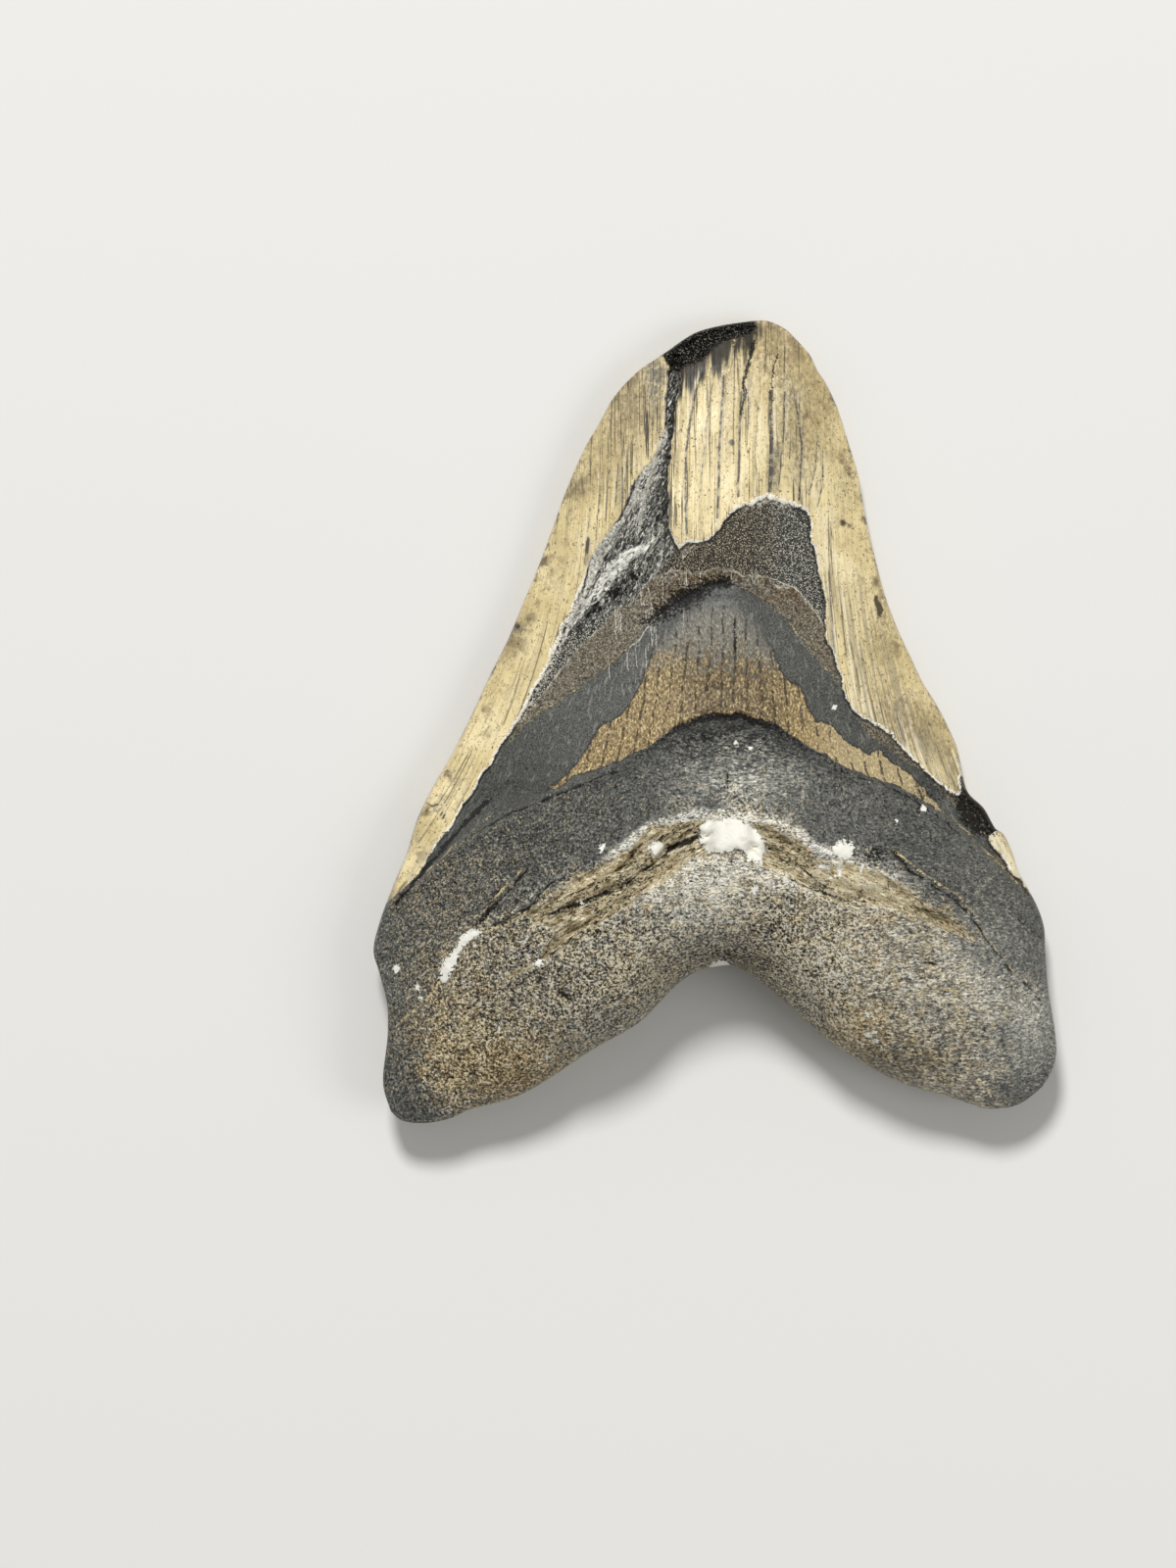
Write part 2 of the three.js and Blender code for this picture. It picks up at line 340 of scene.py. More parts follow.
@dataclass(frozen=True)
class ToothRelief:
    """Heights of the two faces over the table."""

    rim_crown: float = 3.6
    rim_root: float = 9.0
    round_crown: float = 0.7
    round_root: float = 8.5
    belly_crown: float = 13.0
    belly_root: float = 8.0
    enamel: float = 0.85
    collar: float = 1.1
    root_line: Run = (
        (-60, -33), (-53, -29.5), (-46, -24), (-40, -18.5), (-34, -15.5), (-26, -11), (-20, -9),
        (-14, -6.5), (-7, -1.5), (-3, 0.6), (0, 1.2), (4, 1), (10, -0.8), (16, -4.8), (21, -7.7),
        (30, -11), (36, -14.5), (42, -19.5), (48, -26), (60, -38),
    )  # fmt: skip
    stations: tuple[tuple[float, float, float], ...] = (
        (-12, 56, 4.6), (-21, 43, 4.5), (-27.8, 25.5, 4.5), (-33, 13, 4.6), (-39.5, -0.5, 5),
        (-45.5, -11.5, 6), (-50, -23, 8.2), (15.2, 58.5, 4.6), (21.2, 45, 4.5), (25.4, 27, 4.5),
        (29.3, 14.5, 4.6), (35.5, 2.5, 5), (39.5, -8, 6), (47, -20, 8.2), (4, 63, 5), (4, 57, 8.6),
        (4, 45, 12.2), (3, 30, 15.4), (2, 15, 17.8), (2, 3, 19), (-9, 45, 9.7), (13, 45, 9.9),
        (-20, 20, 11.2), (-10, 20, 15.1), (12, 20, 15), (18, 20, 11.6), (-20, 2, 14.9),
        (-31, 2, 9.9), (20, 2, 15), (28, 2, 10.4), (3, -10, 23.4), (-20, -14, 20), (-34, -14, 13.6),
        (22, -14, 20), (34, -14, 13.4), (3, -20, 27), (3, -30, 25.6), (2, -38.5, 21),
        (-20, -28, 24.8), (22, -28, 24.8), (-48, -30, 12), (-36, -24, 18.2), (-36, -36, 20.6),
        (-45, -45, 16.6), (-47, -58, 13), (-30, -50, 18.2), (-18, -44, 21.4), (47, -30, 12),
        (36, -24, 18.2), (36, -36, 20.6), (46, -45, 16.6), (48, -55, 13), (31, -50, 18.2),
        (18, -43, 21.4),
    )  # fmt: skip

    def below_root_line(self, x: Array, y: Array) -> Array:
        """How far points lie under the root line, measured straight down."""
        line = np.array(self.root_line)
        return np.interp(x, line[:, 0], line[:, 1]) - y

    def plate(self, x: Array, y: Array) -> Array:
        """Thin plate bent through the height stations: a plane plus terms of r squared times log r.

        Args:
            x: Points across.
            y: Points along.

        Returns:
            Heights.
        """
        knots = np.array(self.stations, float)

        def terms(px: Array, py: Array) -> Array:
            """Bending terms of each knot, then the plane's three terms."""
            r2 = (px[:, None] - knots[:, 0]) ** 2 + (py[:, None] - knots[:, 1]) ** 2
            bend = r2 * np.log(np.maximum(r2, 1e-12))
            return np.hstack([bend, np.ones((len(px), 1)), px[:, None], py[:, None]])

        count = len(knots)
        system = np.zeros((count + 3, count + 3))
        system[:count] = terms(knots[:, 0], knots[:, 1])
        system[count:, :count] = system[:count, count:].T
        weights = np.linalg.solve(system, np.concatenate([knots[:, 2], np.zeros(3)]))
        return terms(x, y) @ weights

    def rim(self, x: Array, y: Array) -> Array:
        """Height of the rim, from the cutting edge's to the root's."""
        share = smooth(self.below_root_line(x, y), -8.0, 16.0)
        return self.rim_crown + (self.rim_root - self.rim_crown) * share

    def face(self, x: Array, y: Array, gap: Array, relief: Array) -> Array:
        """Lingual face: the plate plus the relief, rounded down to the rim by a quarter circle.

        Args:
            x: Points across.
            y: Points along.
            gap: Distance inside the outline.
            relief: Relief of the surface in millimetres.

        Returns:
            Heights.
        """
        under = self.below_root_line(x, y)
        root = smooth(under, -2.0, 7.0)
        rim = self.rim(x, y)
        width = self.round_crown + (self.round_root - self.round_crown) * root
        t = 1.0 - np.clip(gap / width, 0.0, 1.0)
        collar = self.collar * (smooth(under, -0.8, 1.6) - root)
        inland = smooth(gap, 0.0, 4.0)
        return rim + (self.plate(x, y) + inland * collar - rim) * np.sqrt(1.0 - t * t) + relief

    def back(self, x: Array, y: Array, gap: Array) -> Array:
        """Labial face: flat, turned up to the rim, sharply on the crown and round on the root.

        Args:
            x: Points across.
            y: Points along.
            gap: Distance inside the outline.

        Returns:
            Heights.
        """
        root = smooth(self.below_root_line(x, y), -2.0, 7.0)
        sharp = (1.0 - np.clip(gap / self.belly_crown, 0.0, 1.0)) ** 2
        turn = 1.0 - np.clip(gap / self.belly_root, 0.0, 1.0)
        return self.rim(x, y) * (sharp + root * (1.0 - np.sqrt(1.0 - turn**2) - sharp))


@dataclass(frozen=True)
class Markings:
    """Everything drawn on the lingual face, on the sighting plane."""

    flaked: Run = (
        (-6.6, 58.6), (-7.8, 55), (-7.9, 50.5), (-8.2, 47), (-9.4, 42.5), (-11.5, 39.5),
        (-13.5, 37), (-14.5, 34), (-16.5, 30.5), (-18.5, 28), (-20, 25.5), (-21, 22.5), (-22.5, 18),
        (-24, 15), (-26, 9.5), (-29, 4.5), (-30.5, 1.5), (-34.5, -4.5), (-38, -10.5), (-42, -16.7),
        (-46, -22.5), (-50, -27.5), (-52.5, -30.5), (-60, -40), (-60, -80), (60, -80), (60, -40),
        (50, -27), (49, -25.2), (48.4, -25), (46.8, -22.8), (45.2, -20.8), (44, -19.4), (44, -18.4),
        (45, -17.5), (46.4, -17.4), (42, -9), (39.2, -8.8), (39, -10.7), (38.7, -12), (37.5, -11.5),
        (36, -10.2), (34.2, -8.8), (32.7, -7), (31, -5.5), (29.3, -3.8), (28, -2), (26.5, -0.7),
        (25, -0.4), (23.5, 0.3), (22.3, 1.3), (21.3, 3), (20.6, 5), (20, 7.5), (19, 10), (18, 12.5),
        (17.8, 15.5), (17.5, 19), (17, 22), (16.3, 25), (15.3, 30), (15, 32.5), (14.3, 33.8),
        (13, 34), (11, 34.6), (9.5, 35), (8.5, 35.7), (6.5, 34.6), (4.5, 34.5), (2.8, 33.3),
        (1.2, 31.8), (0.7, 30.5), (-0.5, 29.3), (-2, 28.6), (-4.3, 28.4), (-6, 27.6), (-6.8, 29),
        (-7.3, 32), (-7.2, 40), (-6.5, 48), (-5.8, 52.5), (-5.2, 58.6),
    )  # fmt: skip
    tip_break: Run = (
        (-10, 61), (-8.4, 58.2), (-7.2, 56.4), (-6.2, 55.3), (-4.5, 56.2), (-1.4, 58), (1.5, 60.5),
        (4.2, 61.2), (6.3, 61.5), (6.6, 63.4), (6.8, 67), (-6, 67),
    )  # fmt: skip
    tip_stain: Run = (
        (-7, 57), (-6.6, 51.6), (-4.5, 53.7), (-2.5, 54.9), (-1, 56.2), (0.6, 57.2), (2.8, 58.2),
        (4.4, 60), (5.2, 62), (-2, 62),
    )  # fmt: skip
    granular: Run = (
        (-6.8, 30), (-5, 26), (-2, 29.5), (1, 33), (6, 37), (11, 37), (15.5, 35), (18.5, 22),
        (18.4, 15.2), (17, 15.4), (16, 17.4), (14, 19.5), (13, 21), (10, 21.2), (8.5, 23.2),
        (6, 23), (3, 23.8), (0, 24), (-4, 23.5), (-7, 24), (-10, 22.6), (-14, 19), (-18, 15),
        (-22, 11), (-26, 6), (-28.5, 2.5), (-31, 2), (-24, 18), (-16, 34), (-9, 48), (-6.5, 48),
    )  # fmt: skip
    channel: Run = (
        (-6.2, 58), (-5.4, 50), (-6.4, 40), (-6.2, 30), (-7.6, 25), (-10, 22.5), (-14, 18.5),
        (-20, 15), (-24, 14), (-23, 20), (-16, 34), (-9, 46), (-8.8, 58),
    )  # fmt: skip
    bevel: Run = (
        (-8, 47), (-9.4, 42.5), (-11.1, 40), (-13.1, 36.4), (-14.7, 32.5), (-17.7, 29.2),
        (-19.6, 26.3), (-20.6, 21.7), (-21.9, 19.1), (-23.9, 15.2), (-23.2, 14.8), (-21.3, 18.8),
        (-19.6, 21.7), (-18.3, 24.6), (-16.4, 27.9), (-15.4, 30.2), (-13.1, 33.5), (-11.8, 38),
        (-9.6, 40.5), (-7.6, 45),
    )  # fmt: skip
    splinter: Run = (
        (-24.6, 12.6), (-23.6, 14.6), (-22.6, 16.4), (-21.8, 17.4), (-20, 20), (-18.1, 23.1),
        (-16.8, 25.1), (-14.8, 26.5), (-12.5, 27.6), (-10.3, 29.4), (-9.6, 31), (-9.9, 29),
        (-11.4, 27.1), (-13.1, 25.6), (-14.8, 23.8), (-16.3, 22.3), (-17.4, 20.5), (-19, 18.7),
        (-20.7, 17.4), (-22.4, 15.6), (-23.6, 13.4), (-24.2, 12.2),
    )  # fmt: skip
    grey: Run = (
        (-50, -28), (-40, -13), (-34, -4.6), (-29, 0.5), (-24, 3.8), (-20, 6.6), (-16, 9.6),
        (-12, 13.6), (-9, 16.6), (-6, 18.8), (-3, 21.2), (0, 22.4), (3, 21.8), (6, 20.2), (9, 18),
        (12, 15.5), (14, 12.5), (16, 10), (18, 8), (20.5, 5), (24, -2), (34, -9), (46, -22),
        (0, -12),
    )  # fmt: skip
    bourlette: Run = (
        (-28, -11.6), (-26, -10.3), (-24, -9), (-22.5, -7.5), (-20, -4), (-19, -2), (-17.5, -0.3),
        (-15.5, 0), (-14, 2), (-12, 5.5), (-11, 8), (-10, 11), (-8, 14), (-6, 16.4), (-3, 18.2),
        (0, 19.4), (4, 18.4), (7, 15.4), (8.5, 12), (10, 9), (10.5, 7.5), (12, 5.8), (13.5, 5),
        (14.5, 3), (15.5, 1.2), (16.5, -0.3), (18.5, -0.8), (20, -2.2), (21.5, -4), (23, -4.4),
        (25, -5.7), (26, -4.8), (29, -7.2), (32, -9.5), (34, -12), (37, -15.2), (33, -12.9),
        (29.6, -11), (25.2, -9), (20.8, -7.5), (17.8, -5.5), (14, -4.6), (3, -2), (-6.4, -2.6),
        (-10.8, -4.2), (-15.3, -6.4), (-19.2, -8), (-22.2, -8.8), (-25, -10.4),
    )  # fmt: skip
    root: Run = (
        (-60, -33), (-53, -29.5), (-46, -24), (-40, -18.5), (-34, -15.5), (-26, -11), (-20, -9),
        (-14, -6.5), (-11, -4.5), (-7, -1.5), (-3, 0.6), (0, 1.2), (4, 1), (7, 0.3), (10, -0.8),
        (13, -2.7), (16, -4.8), (21, -7.7), (27, -10), (30, -11), (36, -14.5), (42, -19.5),
        (48, -26), (60, -38), (60, -90), (-60, -90),
    )  # fmt: skip
    gold_left: Run = (
        (0, -15.6), (-1.7, -15.6), (-6.4, -16.6), (-10.3, -17), (-12.9, -19.8), (-16.8, -22.4),
        (-21.8, -25.1), (-26.5, -28.6), (-31, -31), (-28, -32.6), (-25, -33.4), (-28, -38),
        (-33, -40.6), (-32.6, -41.4), (-26.5, -37.9), (-21.8, -35), (-18.2, -32.6), (-14.6, -30),
        (-12.1, -28), (-8.2, -26.4), (-5.3, -24), (-4.2, -21.9), (0, -21.4),
    )  # fmt: skip
    gold_right: Run = (
        (5, -16.2), (8, -16.6), (12.6, -18.4), (16.6, -22.2), (20, -23), (23.7, -23), (29.8, -26.2),
        (34, -29.4), (38, -31.6), (42, -34.8), (36, -33.2), (29.8, -30), (22.3, -30), (16.6, -28.2),
        (13, -25.9), (7.2, -23.3), (5, -21.5),
    )  # fmt: skip
    white: tuple[Run, ...] = (
        ((-2.4, -17.2), (-1.2, -16), (1, -16.3), (3, -15.9), (5.5, -16.8), (6.4, -18), (7.9, -20.4),
            (7.4, -22.9), (5.6, -21.9), (4.6, -20.6), (3.4, -20.1), (2.4, -21), (0.9, -20.8),
            (-1, -20.6), (-2, -19.4)),
        ((-37.1, -34), (-38.6, -33.6), (-40.4, -34.6), (-41.4, -36.4), (-42.8, -38), (-44, -41.2),
            (-43.2, -41.6), (-42, -40), (-41.2, -37.8), (-40.2, -36.2), (-38.6, -35)),
        ((-10.6, -20.6), (-9.4, -19.6), (-8.6, -20.2), (-8.8, -21), (-9.8, -21.4)),
        ((19.2, -20), (20.6, -19.2), (22, -20), (21.8, -21.6), (20.4, -22.4), (19.4, -21.4)),
        ((-0.6, -39.4), (0.6, -38.5), (2, -38.5), (2.6, -39.6)),
        ((-29, -38.9), (-27.6, -38.1), (-27.2, -38.5), (-28.4, -39.4)),
    )  # fmt: skip
    specks: Zones = (
        (-18, -20.4, 0.6, 0.8, 1), (24.3, -50.3, 0.7, 0.5, 1), (25.6, -51, 0.5, 0.4, 1),
        (25.7, -49.8, 0.4, 0.4, 1), (24.4, -47, 0.5, 0.6, 0.9), (-51, -39.5, 0.6, 0.8, 0.9),
        (-47.3, -42.5, 0.5, 0.8, 0.9), (-47, -44.2, 0.4, 0.5, 0.9), (-36.7, -47.7, 0.5, 0.5, 0.8),
        (-34.5, -49, 0.5, 0.5, 0.8), (-26.5, -53.7, 0.6, 0.6, 0.8), (-28, -55, 0.5, 0.5, 0.7),
        (19.2, 1.8, 0.5, 0.4, 1), (33.5, -14.3, 0.6, 0.4, 1), (3.5, -3.5, 0.4, 0.4, 0.9),
        (5.7, -4.5, 0.4, 0.4, 0.9), (29, -16, 0.4, 0.4, 0.8), (-27, -21.8, 0.4, 0.4, 0.7),
        (17.6, -23.2, 1.4, 0.5, 0.8), (20.2, -23.8, 0.5, 1.6, 0.8), (23.4, -23.4, 0.5, 1.2, 0.7),
        (18.6, -25, 0.9, 0.4, 0.6), (6.3, -27.2, 0.7, 1.3, 0.8), (-21.6, -29.4, 0.8, 0.5, 0.7),
    )  # fmt: skip
    black_lines: Strokes = (
        (0.4, ((-2.1, -18.5), (-4.6, -19.4), (-7.4, -20.7))),
        (0.14, ((-7.4, -20.7), (-8.6, -22.2), (-10.4, -23.2), (-13.9, -26.2), (-17, -27.4))),
        (0.26, ((-17, -27.4), (-19.9, -28.6), (-21.1, -29.6), (-24.5, -30.2), (-26, -31))),
        (0.1, ((-16.5, -29.6), (-18.2, -31.6), (-20, -33.4), (-22.3, -34.6), (-25.5, -37),
            (-27.4, -38.4))),
        (0.16, ((7.6, -20.5), (10.1, -20.5), (11.6, -21.6), (13, -23), (15.8, -25.1),
            (17.6, -26.6))),
        (0.12, ((12, -25.4), (15.4, -26.8), (20.1, -28.5), (22.6, -29.4))),
        (0.16, ((-30.4, -24.2), (-32.2, -26.6), (-34.7, -28.8))),
        (0.3, ((-34.9, -29.4), (-36.4, -30.9))),
        (0.14, ((-36.4, -30.9), (-38, -32.6), (-39.8, -33.9))),
        (0.13, ((-22.1, -23.9), (-25, -25.6), (-27.2, -26.7), (-28.6, -28.4))),
        (0.3, ((-28.8, -29), (-30.1, -29.9), (-31, -30.4))),
        (0.12, ((-31, -30.4), (-33.6, -32), (-36.3, -32.7))),
        (0.14, ((28.5, -21), (31, -24), (35, -26.5), (38.5, -29), (40.5, -30.5), (42, -33),
            (44, -36))),
        (0.07, ((44, -36), (46, -38.5), (47.5, -40.5), (50, -42.5), (52, -45))),
        (0.06, ((46, -30), (48.5, -32), (51, -34))), (0.05, ((2, -9), (2.2, -11.4), (1.9, -13.6))),
        (0.3, ((34.2, -38.7), (34.8, -38.8))), (0.3, ((-24.2, -43.6), (-23.6, -44.2))),
        (0.22, ((4.3, 49), (4.6, 52), (4.9, 55), (5.4, 57.4), (6.4, 60.6))),
        (0.14, ((9.2, 51), (9.1, 54), (9.9, 58))),
        (0.3, ((-36.4, -13), (-40, -16.5), (-43.2, -20.3), (-45.8, -23.2))),
        (0.22, ((-45.8, -23.2), (-48.2, -26.3), (-50.8, -29.2))),
        (0.12, ((3.2, 10.4), (3.2, 15.4))),
        (0.12, ((-16, -8.2), (-20.4, -9.9), (-25, -11.8), (-29.6, -13.7), (-34, -15.4),
            (-39.4, -18.8))),
        (0.06, ((20, -8), (25, -9.8), (30, -11.7), (35, -14.8), (40, -18.8))),
    )  # fmt: skip
    growth_lines: Strokes = (
        (0.2, ((-4.5, 29.6), (-4.7, 36), (-4.6, 43), (-3.9, 48), (-3.1, 52.4), (-2.2, 55.4))),
        (0.09, ((-2.5, 29.4), (-2.4, 36), (-1.8, 42), (-1.2, 48), (-0.6, 52.4), (0, 56))),
        (0.2, ((0.4, 32), (0.6, 37), (0.7, 43), (1, 48), (1.3, 52.4), (1.4, 55))),
        (0.2, ((3.7, 35.6), (3.8, 40), (3.9, 45), (4.2, 52.4))),
        (0.34, ((8.8, 36.4), (8.9, 40), (9, 44), (8.9, 52.4))),
        (0.12, ((10.2, 37), (10.6, 42), (11, 46), (11.2, 52.4))),
        (0.16, ((13.4, 35), (13.7, 40), (13.9, 44), (12.7, 52))),
        (0.08, ((-6.4, 31), (-6.2, 40), (-5.4, 50))), (0.08, ((6.2, 36), (6.5, 44), (7, 51))),
        (0.1, ((15, 36), (16, 40), (16.4, 45))), (0.1, ((16.4, 34), (17.2, 38), (17.2, 43))),
        (0.1, ((-20.3, 29.8), (-19.9, 34.2))), (0.1, ((-18.6, 33), (-18, 39.6))),
        (0.12, ((-17.4, 33), (-16.9, 40))), (0.14, ((-15.9, 34), (-15.4, 41))),
        (0.3, ((-20.7, 25), (-20.2, 29))), (0.1, ((-14.4, 38), (-13.8, 44))),
        (0.16, ((-45.8, -12.2), (-44.6, -13), (-43.6, -14.2), (-42.8, -16))),
        (0.14, ((-46.2, -13.2), (-45, -13.9), (-43.8, -15), (-42.8, -16.6))),
        (0.1, ((-44, -11.8), (-43, -13), (-42.4, -14.4))),
        (0.12, ((-42.4, -9.2), (-41.8, -11), (-41.2, -12.8), (-41.1, -14.6))),
        (0.1, ((-41.6, -8), (-40.8, -9.8), (-40.2, -11.6), (-40.2, -13.4))),
        (0.08, ((-40.2, -8), (-39.6, -9.8), (-39.3, -11.6))),
        (0.08, ((-39, -5.2), (-38.6, -7), (-38.5, -9.2))),
    )  # fmt: skip
    pale_lines: Strokes = (
        (0.28, ((-43.8, -41.7), (-45.7, -44.5), (-49.5, -47.7))),
        (0.22, ((-28.2, -39), (-32, -40.4), (-34.4, -42.2), (-36.5, -43.2))),
        (0.14, ((-26, -44.2), (-31, -46), (-36, -46.8))),
        (0.2, ((16, -33), (18, -34.6), (20, -36.5), (24, -38.2), (28.5, -40.5), (29.5, -43))),
        (0.16, ((30, -43.5), (33, -44))), (0.2, ((34, -42.3), (38, -43.3), (40.5, -44.5))),
        (0.14, ((7.8, -8), (7.6, -12), (7.2, -17))),
        (0.16, ((3.2, 60.4), (2.5, 57.4), (1.9, 54.6), (1.6, 51.4))),
        (0.24, ((20.1, -25.2), (22, -26.5), (27.5, -29), (33, -31.5), (36.5, -33), (41.5, -35))),
        (0.2, ((16.5, -24.4), (19, -26), (22.6, -26.9), (26, -27.6), (29.6, -29.8))),
        (0.16, ((23.4, -23.6), (25, -25.6), (27.6, -27.2), (30.4, -28.2), (31.4, -30.2))),
        (0.2, ((28.6, -20.8), (31.8, -23.4), (35.4, -25.8), (39.2, -28.4), (41.8, -31))),
        (0.12, ((42, -33.6), (43.4, -35), (45, -36.6), (47.4, -39.6), (49.6, -41.4))),
        (0.16, ((-31, -24), (-33.4, -26.6), (-36.6, -29.4))),
        (0.24, ((-22.4, -25), (-26.4, -27.8), (-30.6, -31), (-34, -32.9), (-36, -33.4))),
        (0.2, ((-16.4, -26), (-20, -28), (-23, -29.2), (-27.6, -30.6), (-29.6, -30.5))),
        (0.2, ((-17.2, -30.6), (-20.4, -32.6), (-23.6, -34.6), (-27, -37.2))),
        (0.1, ((33, -11), (36, -14), (40, -17.4), (44, -21.4), (48, -25.6))),
        (0.1, ((12, 15.5), (14, 12.5), (16, 10), (18, 8), (20.5, 5))),
        (0.08, ((-29, 0.4), (-24, 3.7), (-20, 6.5), (-16, 9.5), (-13.7, 11.6), (-12, 12.8))),
        (0.1, ((-46, -24.2), (-42, -20.3), (-38, -16.8), (-34.4, -13.6))),
    )  # fmt: skip
    drips: Strokes = (
        (0.22, ((-8.2, 46.6), (-8.9, 43.4), (-9.9, 40.6), (-10.5, 37.8), (-11.4, 34.6),
            (-12, 31.4))),
        (0.16, ((-9.6, 39), (-11.2, 36.8), (-12.6, 35.4), (-13.2, 33.4))),
        (0.14, ((-7.6, 54.6), (-7.7, 51.4), (-8.2, 48.6))),
        (0.12, ((-8.6, 30.6), (-9.6, 28.4), (-11, 26), (-11.4, 23.6))),
        (0.1, ((-8.2, 28), (-8.6, 25.4), (-9.4, 23.4))),
        (0.07, ((-10.7, 21.8), (-10.4, 20), (-10.1, 18.4), (-9.8, 16.6))),
        (0.06, ((-8.4, 22.4), (-8.2, 20.6), (-8.4, 19))),
        (0.06, ((-11.3, 19.2), (-11.1, 17.6), (-11, 15.8))),
        (0.06, ((-9, 22), (-8.4, 23), (-7, 23.8), (-5.7, 22.8), (-5.5, 21.6))),
        (0.05, ((-4.6, 23.4), (-4.5, 22), (-4.3, 20.8))), (0.05, ((-2.4, 23.9), (-2.2, 21.8))),
        (0.05, ((6.8, 23.6), (6.9, 22.2))), (0.05, ((5.9, 23.6), (6, 22.6))),
        (0.06, ((-16, 18.2), (-15.8, 16), (-15.8, 13))), (0.05, ((-15.1, 17.6), (-15, 14.4))),
        (0.06, ((-12.1, 22), (-11.8, 20.4), (-11.7, 18.6))),
        (0.05, ((-10.2, 14.8), (-10.1, 13.4), (-10, 11.8))), (0.05, ((-9.4, 14.6), (-9.3, 11.4))),
        (0.05, ((-5, 16.9), (-4.9, 14.8))), (0.05, ((-12.7, 12), (-12.5, 8.8))),
        (0.05, ((-11, 11.6), (-10.9, 7.2))), (0.05, ((-14, 10.6), (-13.9, 8.2))),
        (0.05, ((-17, 10), (-16.8, 6.8))),
        (0.08, ((-13.7, 11.6), (-12, 12.8), (-11, 14.6), (-9.6, 16.2), (-8, 17.2), (-6.8, 18.8))),
        (0.06, ((2.6, 23.4), (2.8, 21.6))),
        (0.06, ((9.4, 22.6), (11, 21.8), (13, 21), (14.4, 19.4), (16, 17.4), (17.2, 15.4))),
    )  # fmt: skip
    lip_zones: Zones = (
        (-3, 28.4, 4.5, 1.8, 0.5), (4, 34, 4, 1.8, 0.4), (10, 35.2, 5, 1.8, 0.9),
        (15, 28, 2, 6, 0.3), (-25, 10, 4, 6, 0.85), (-30, 2, 4, 6, 0.6), (-20.6, 18.4, 2, 4, 0.6),
        (-37, -9, 4, 7, 0.35), (-43, -18, 4, 5, 0.3), (20, 6, 3, 7, 0.16), (26, -1, 4, 4, 0.3),
        (32, -6.4, 4, 4, 0.3), (38, -11.4, 3, 3, 0.35), (46, -21.6, 3, 4, 0.2),
        (-22, 18, 2, 4, 0.2),
    )  # fmt: skip
    chip_zones: Zones = (
        (-7.6, 52, 0.5, 2.5, 0.07), (-8.1, 47, 0.6, 3, 0.1), (-9.2, 42.4, 0.8, 3, 0.12),
        (-10.6, 38.4, 1, 2.6, 0.12), (-11.8, 34.6, 0.8, 2.5, 0.11), (-12.6, 31, 0.7, 1.6, 0.08),
        (-9.4, 29.4, 2.2, 2.4, 0.05), (-12, 24.4, 2, 1.6, 0.03), (-7, 54, 1, 5, -0.03),
        (-6.6, 42, 1, 6, -0.05), (-7.6, 34, 1.4, 4, -0.02),
    )  # fmt: skip
    # Black zones: dark mineral on the crown and at the shoulder break; those along the crease's
    # lower border and around the notch are painted shade.
    black_zones: Zones = (
        (-3.2, 20.2, 2.4, 1.4, 0.95), (-0.4, 22, 2.4, 1.1, 0.9), (-5.8, 18.8, 2.2, 1.5, 0.95),
        (-8.6, 17, 2, 1.2, 0.9), (-10.8, 15.6, 1.6, 0.8, 0.7), (2.4, 22.2, 1.8, 0.9, 0.7),
        (-13.2, 22.8, 1.8, 1.3, 0.8), (-15.8, 20.2, 1.8, 1.2, 0.8), (-18.6, 17.4, 1.6, 1, 0.8),
        (-22, 14.4, 1.2, 1, 0.6), (-10.4, -23.4, 2, 0.8, 0.6), (-14, -26.2, 2.4, 0.9, 0.65),
        (-20, -29, 3, 0.9, 0.65), (-24.6, -30.8, 2, 0.7, 0.6), (-19, -33.4, 2.4, 0.8, 0.5),
        (12.6, -22.6, 2, 0.8, 0.55), (16, -26.6, 3, 0.8, 0.5), (21, -28.8, 2.4, 0.8, 0.45),
        (25.4, -21.4, 2.2, 1.6, 0.7), (42.6, -13.6, 2.6, 2.4, 1), (41, -12.2, 2, 2, 0.9),
        (44.2, -16.4, 1.6, 1.6, 1), (42.4, -17, 2, 1.8, 0.95), (40.4, -14.6, 2, 2, 0.8),
        (34, -12, 4, 1.4, 0.45), (9.4, -32.4, 3, 4, 0.42), (2, -37.4, 5, 1.8, 0.5),
        (-5, -40, 3, 1.6, 0.4), (8, -40, 3, 1.6, 0.45),
    )  # fmt: skip
    gold_zones: Zones = (
        (-40, -54, 12, 7, 0.5), (-30, -57, 7, 4, 0.4), (-46, -28, 8, 6, 0.25),
        (22, -48.5, 6, 4.5, 0.5), (-14, -41, 8, 6, 0.25), (-44, -41, 8, 8, 0.2),
        (14, -36, 9, 6, 0.15), (10, -44, 6, 5, 0.25), (30, -54, 10, 4, 0.15), (18, -27, 6, 3, 0.2),
        (30, -30, 8, 2, 0.25), (-38, -22, 6, 3, 0.12),
    )  # fmt: skip
    crust_lines: Strokes = (
        (0.8, ((-16.4, -22.2), (-13.4, -19.8), (-10.6, -17.5), (-6, -16.1), (-2, -15.3), (3, -15),
            (7, -15.7))),
        (0.7, ((8.2, -16), (12, -17.5), (16, -20.2), (19, -22), (24, -23.8))),
        (1.5, ((-9.6, -27.8), (-6, -25.4), (-2.4, -23.6), (3, -23.3), (8, -24.5), (12, -26))),
        (0.5, ((-17, -23.6), (-20, -25.3), (-23.4, -26.9))),
    )  # fmt: skip
    # Pale crust and leathery zones; the last, over the collar's middle, is a painted sheen.
    pale_zones: Zones = (
        (0, -25.6, 8, 3.2, 0.95), (-9.4, -28.4, 3, 2, 0.5), (0, -31, 6, 2.6, 0.35),
        (20.6, -22.4, 3.4, 2, 0.9), (-21, -31.2, 2.4, 1.4, 0.6), (25.4, -25, 3, 1.2, 0.6),
        (3, -10, 7, 3, 0.3),
    )  # fmt: skip
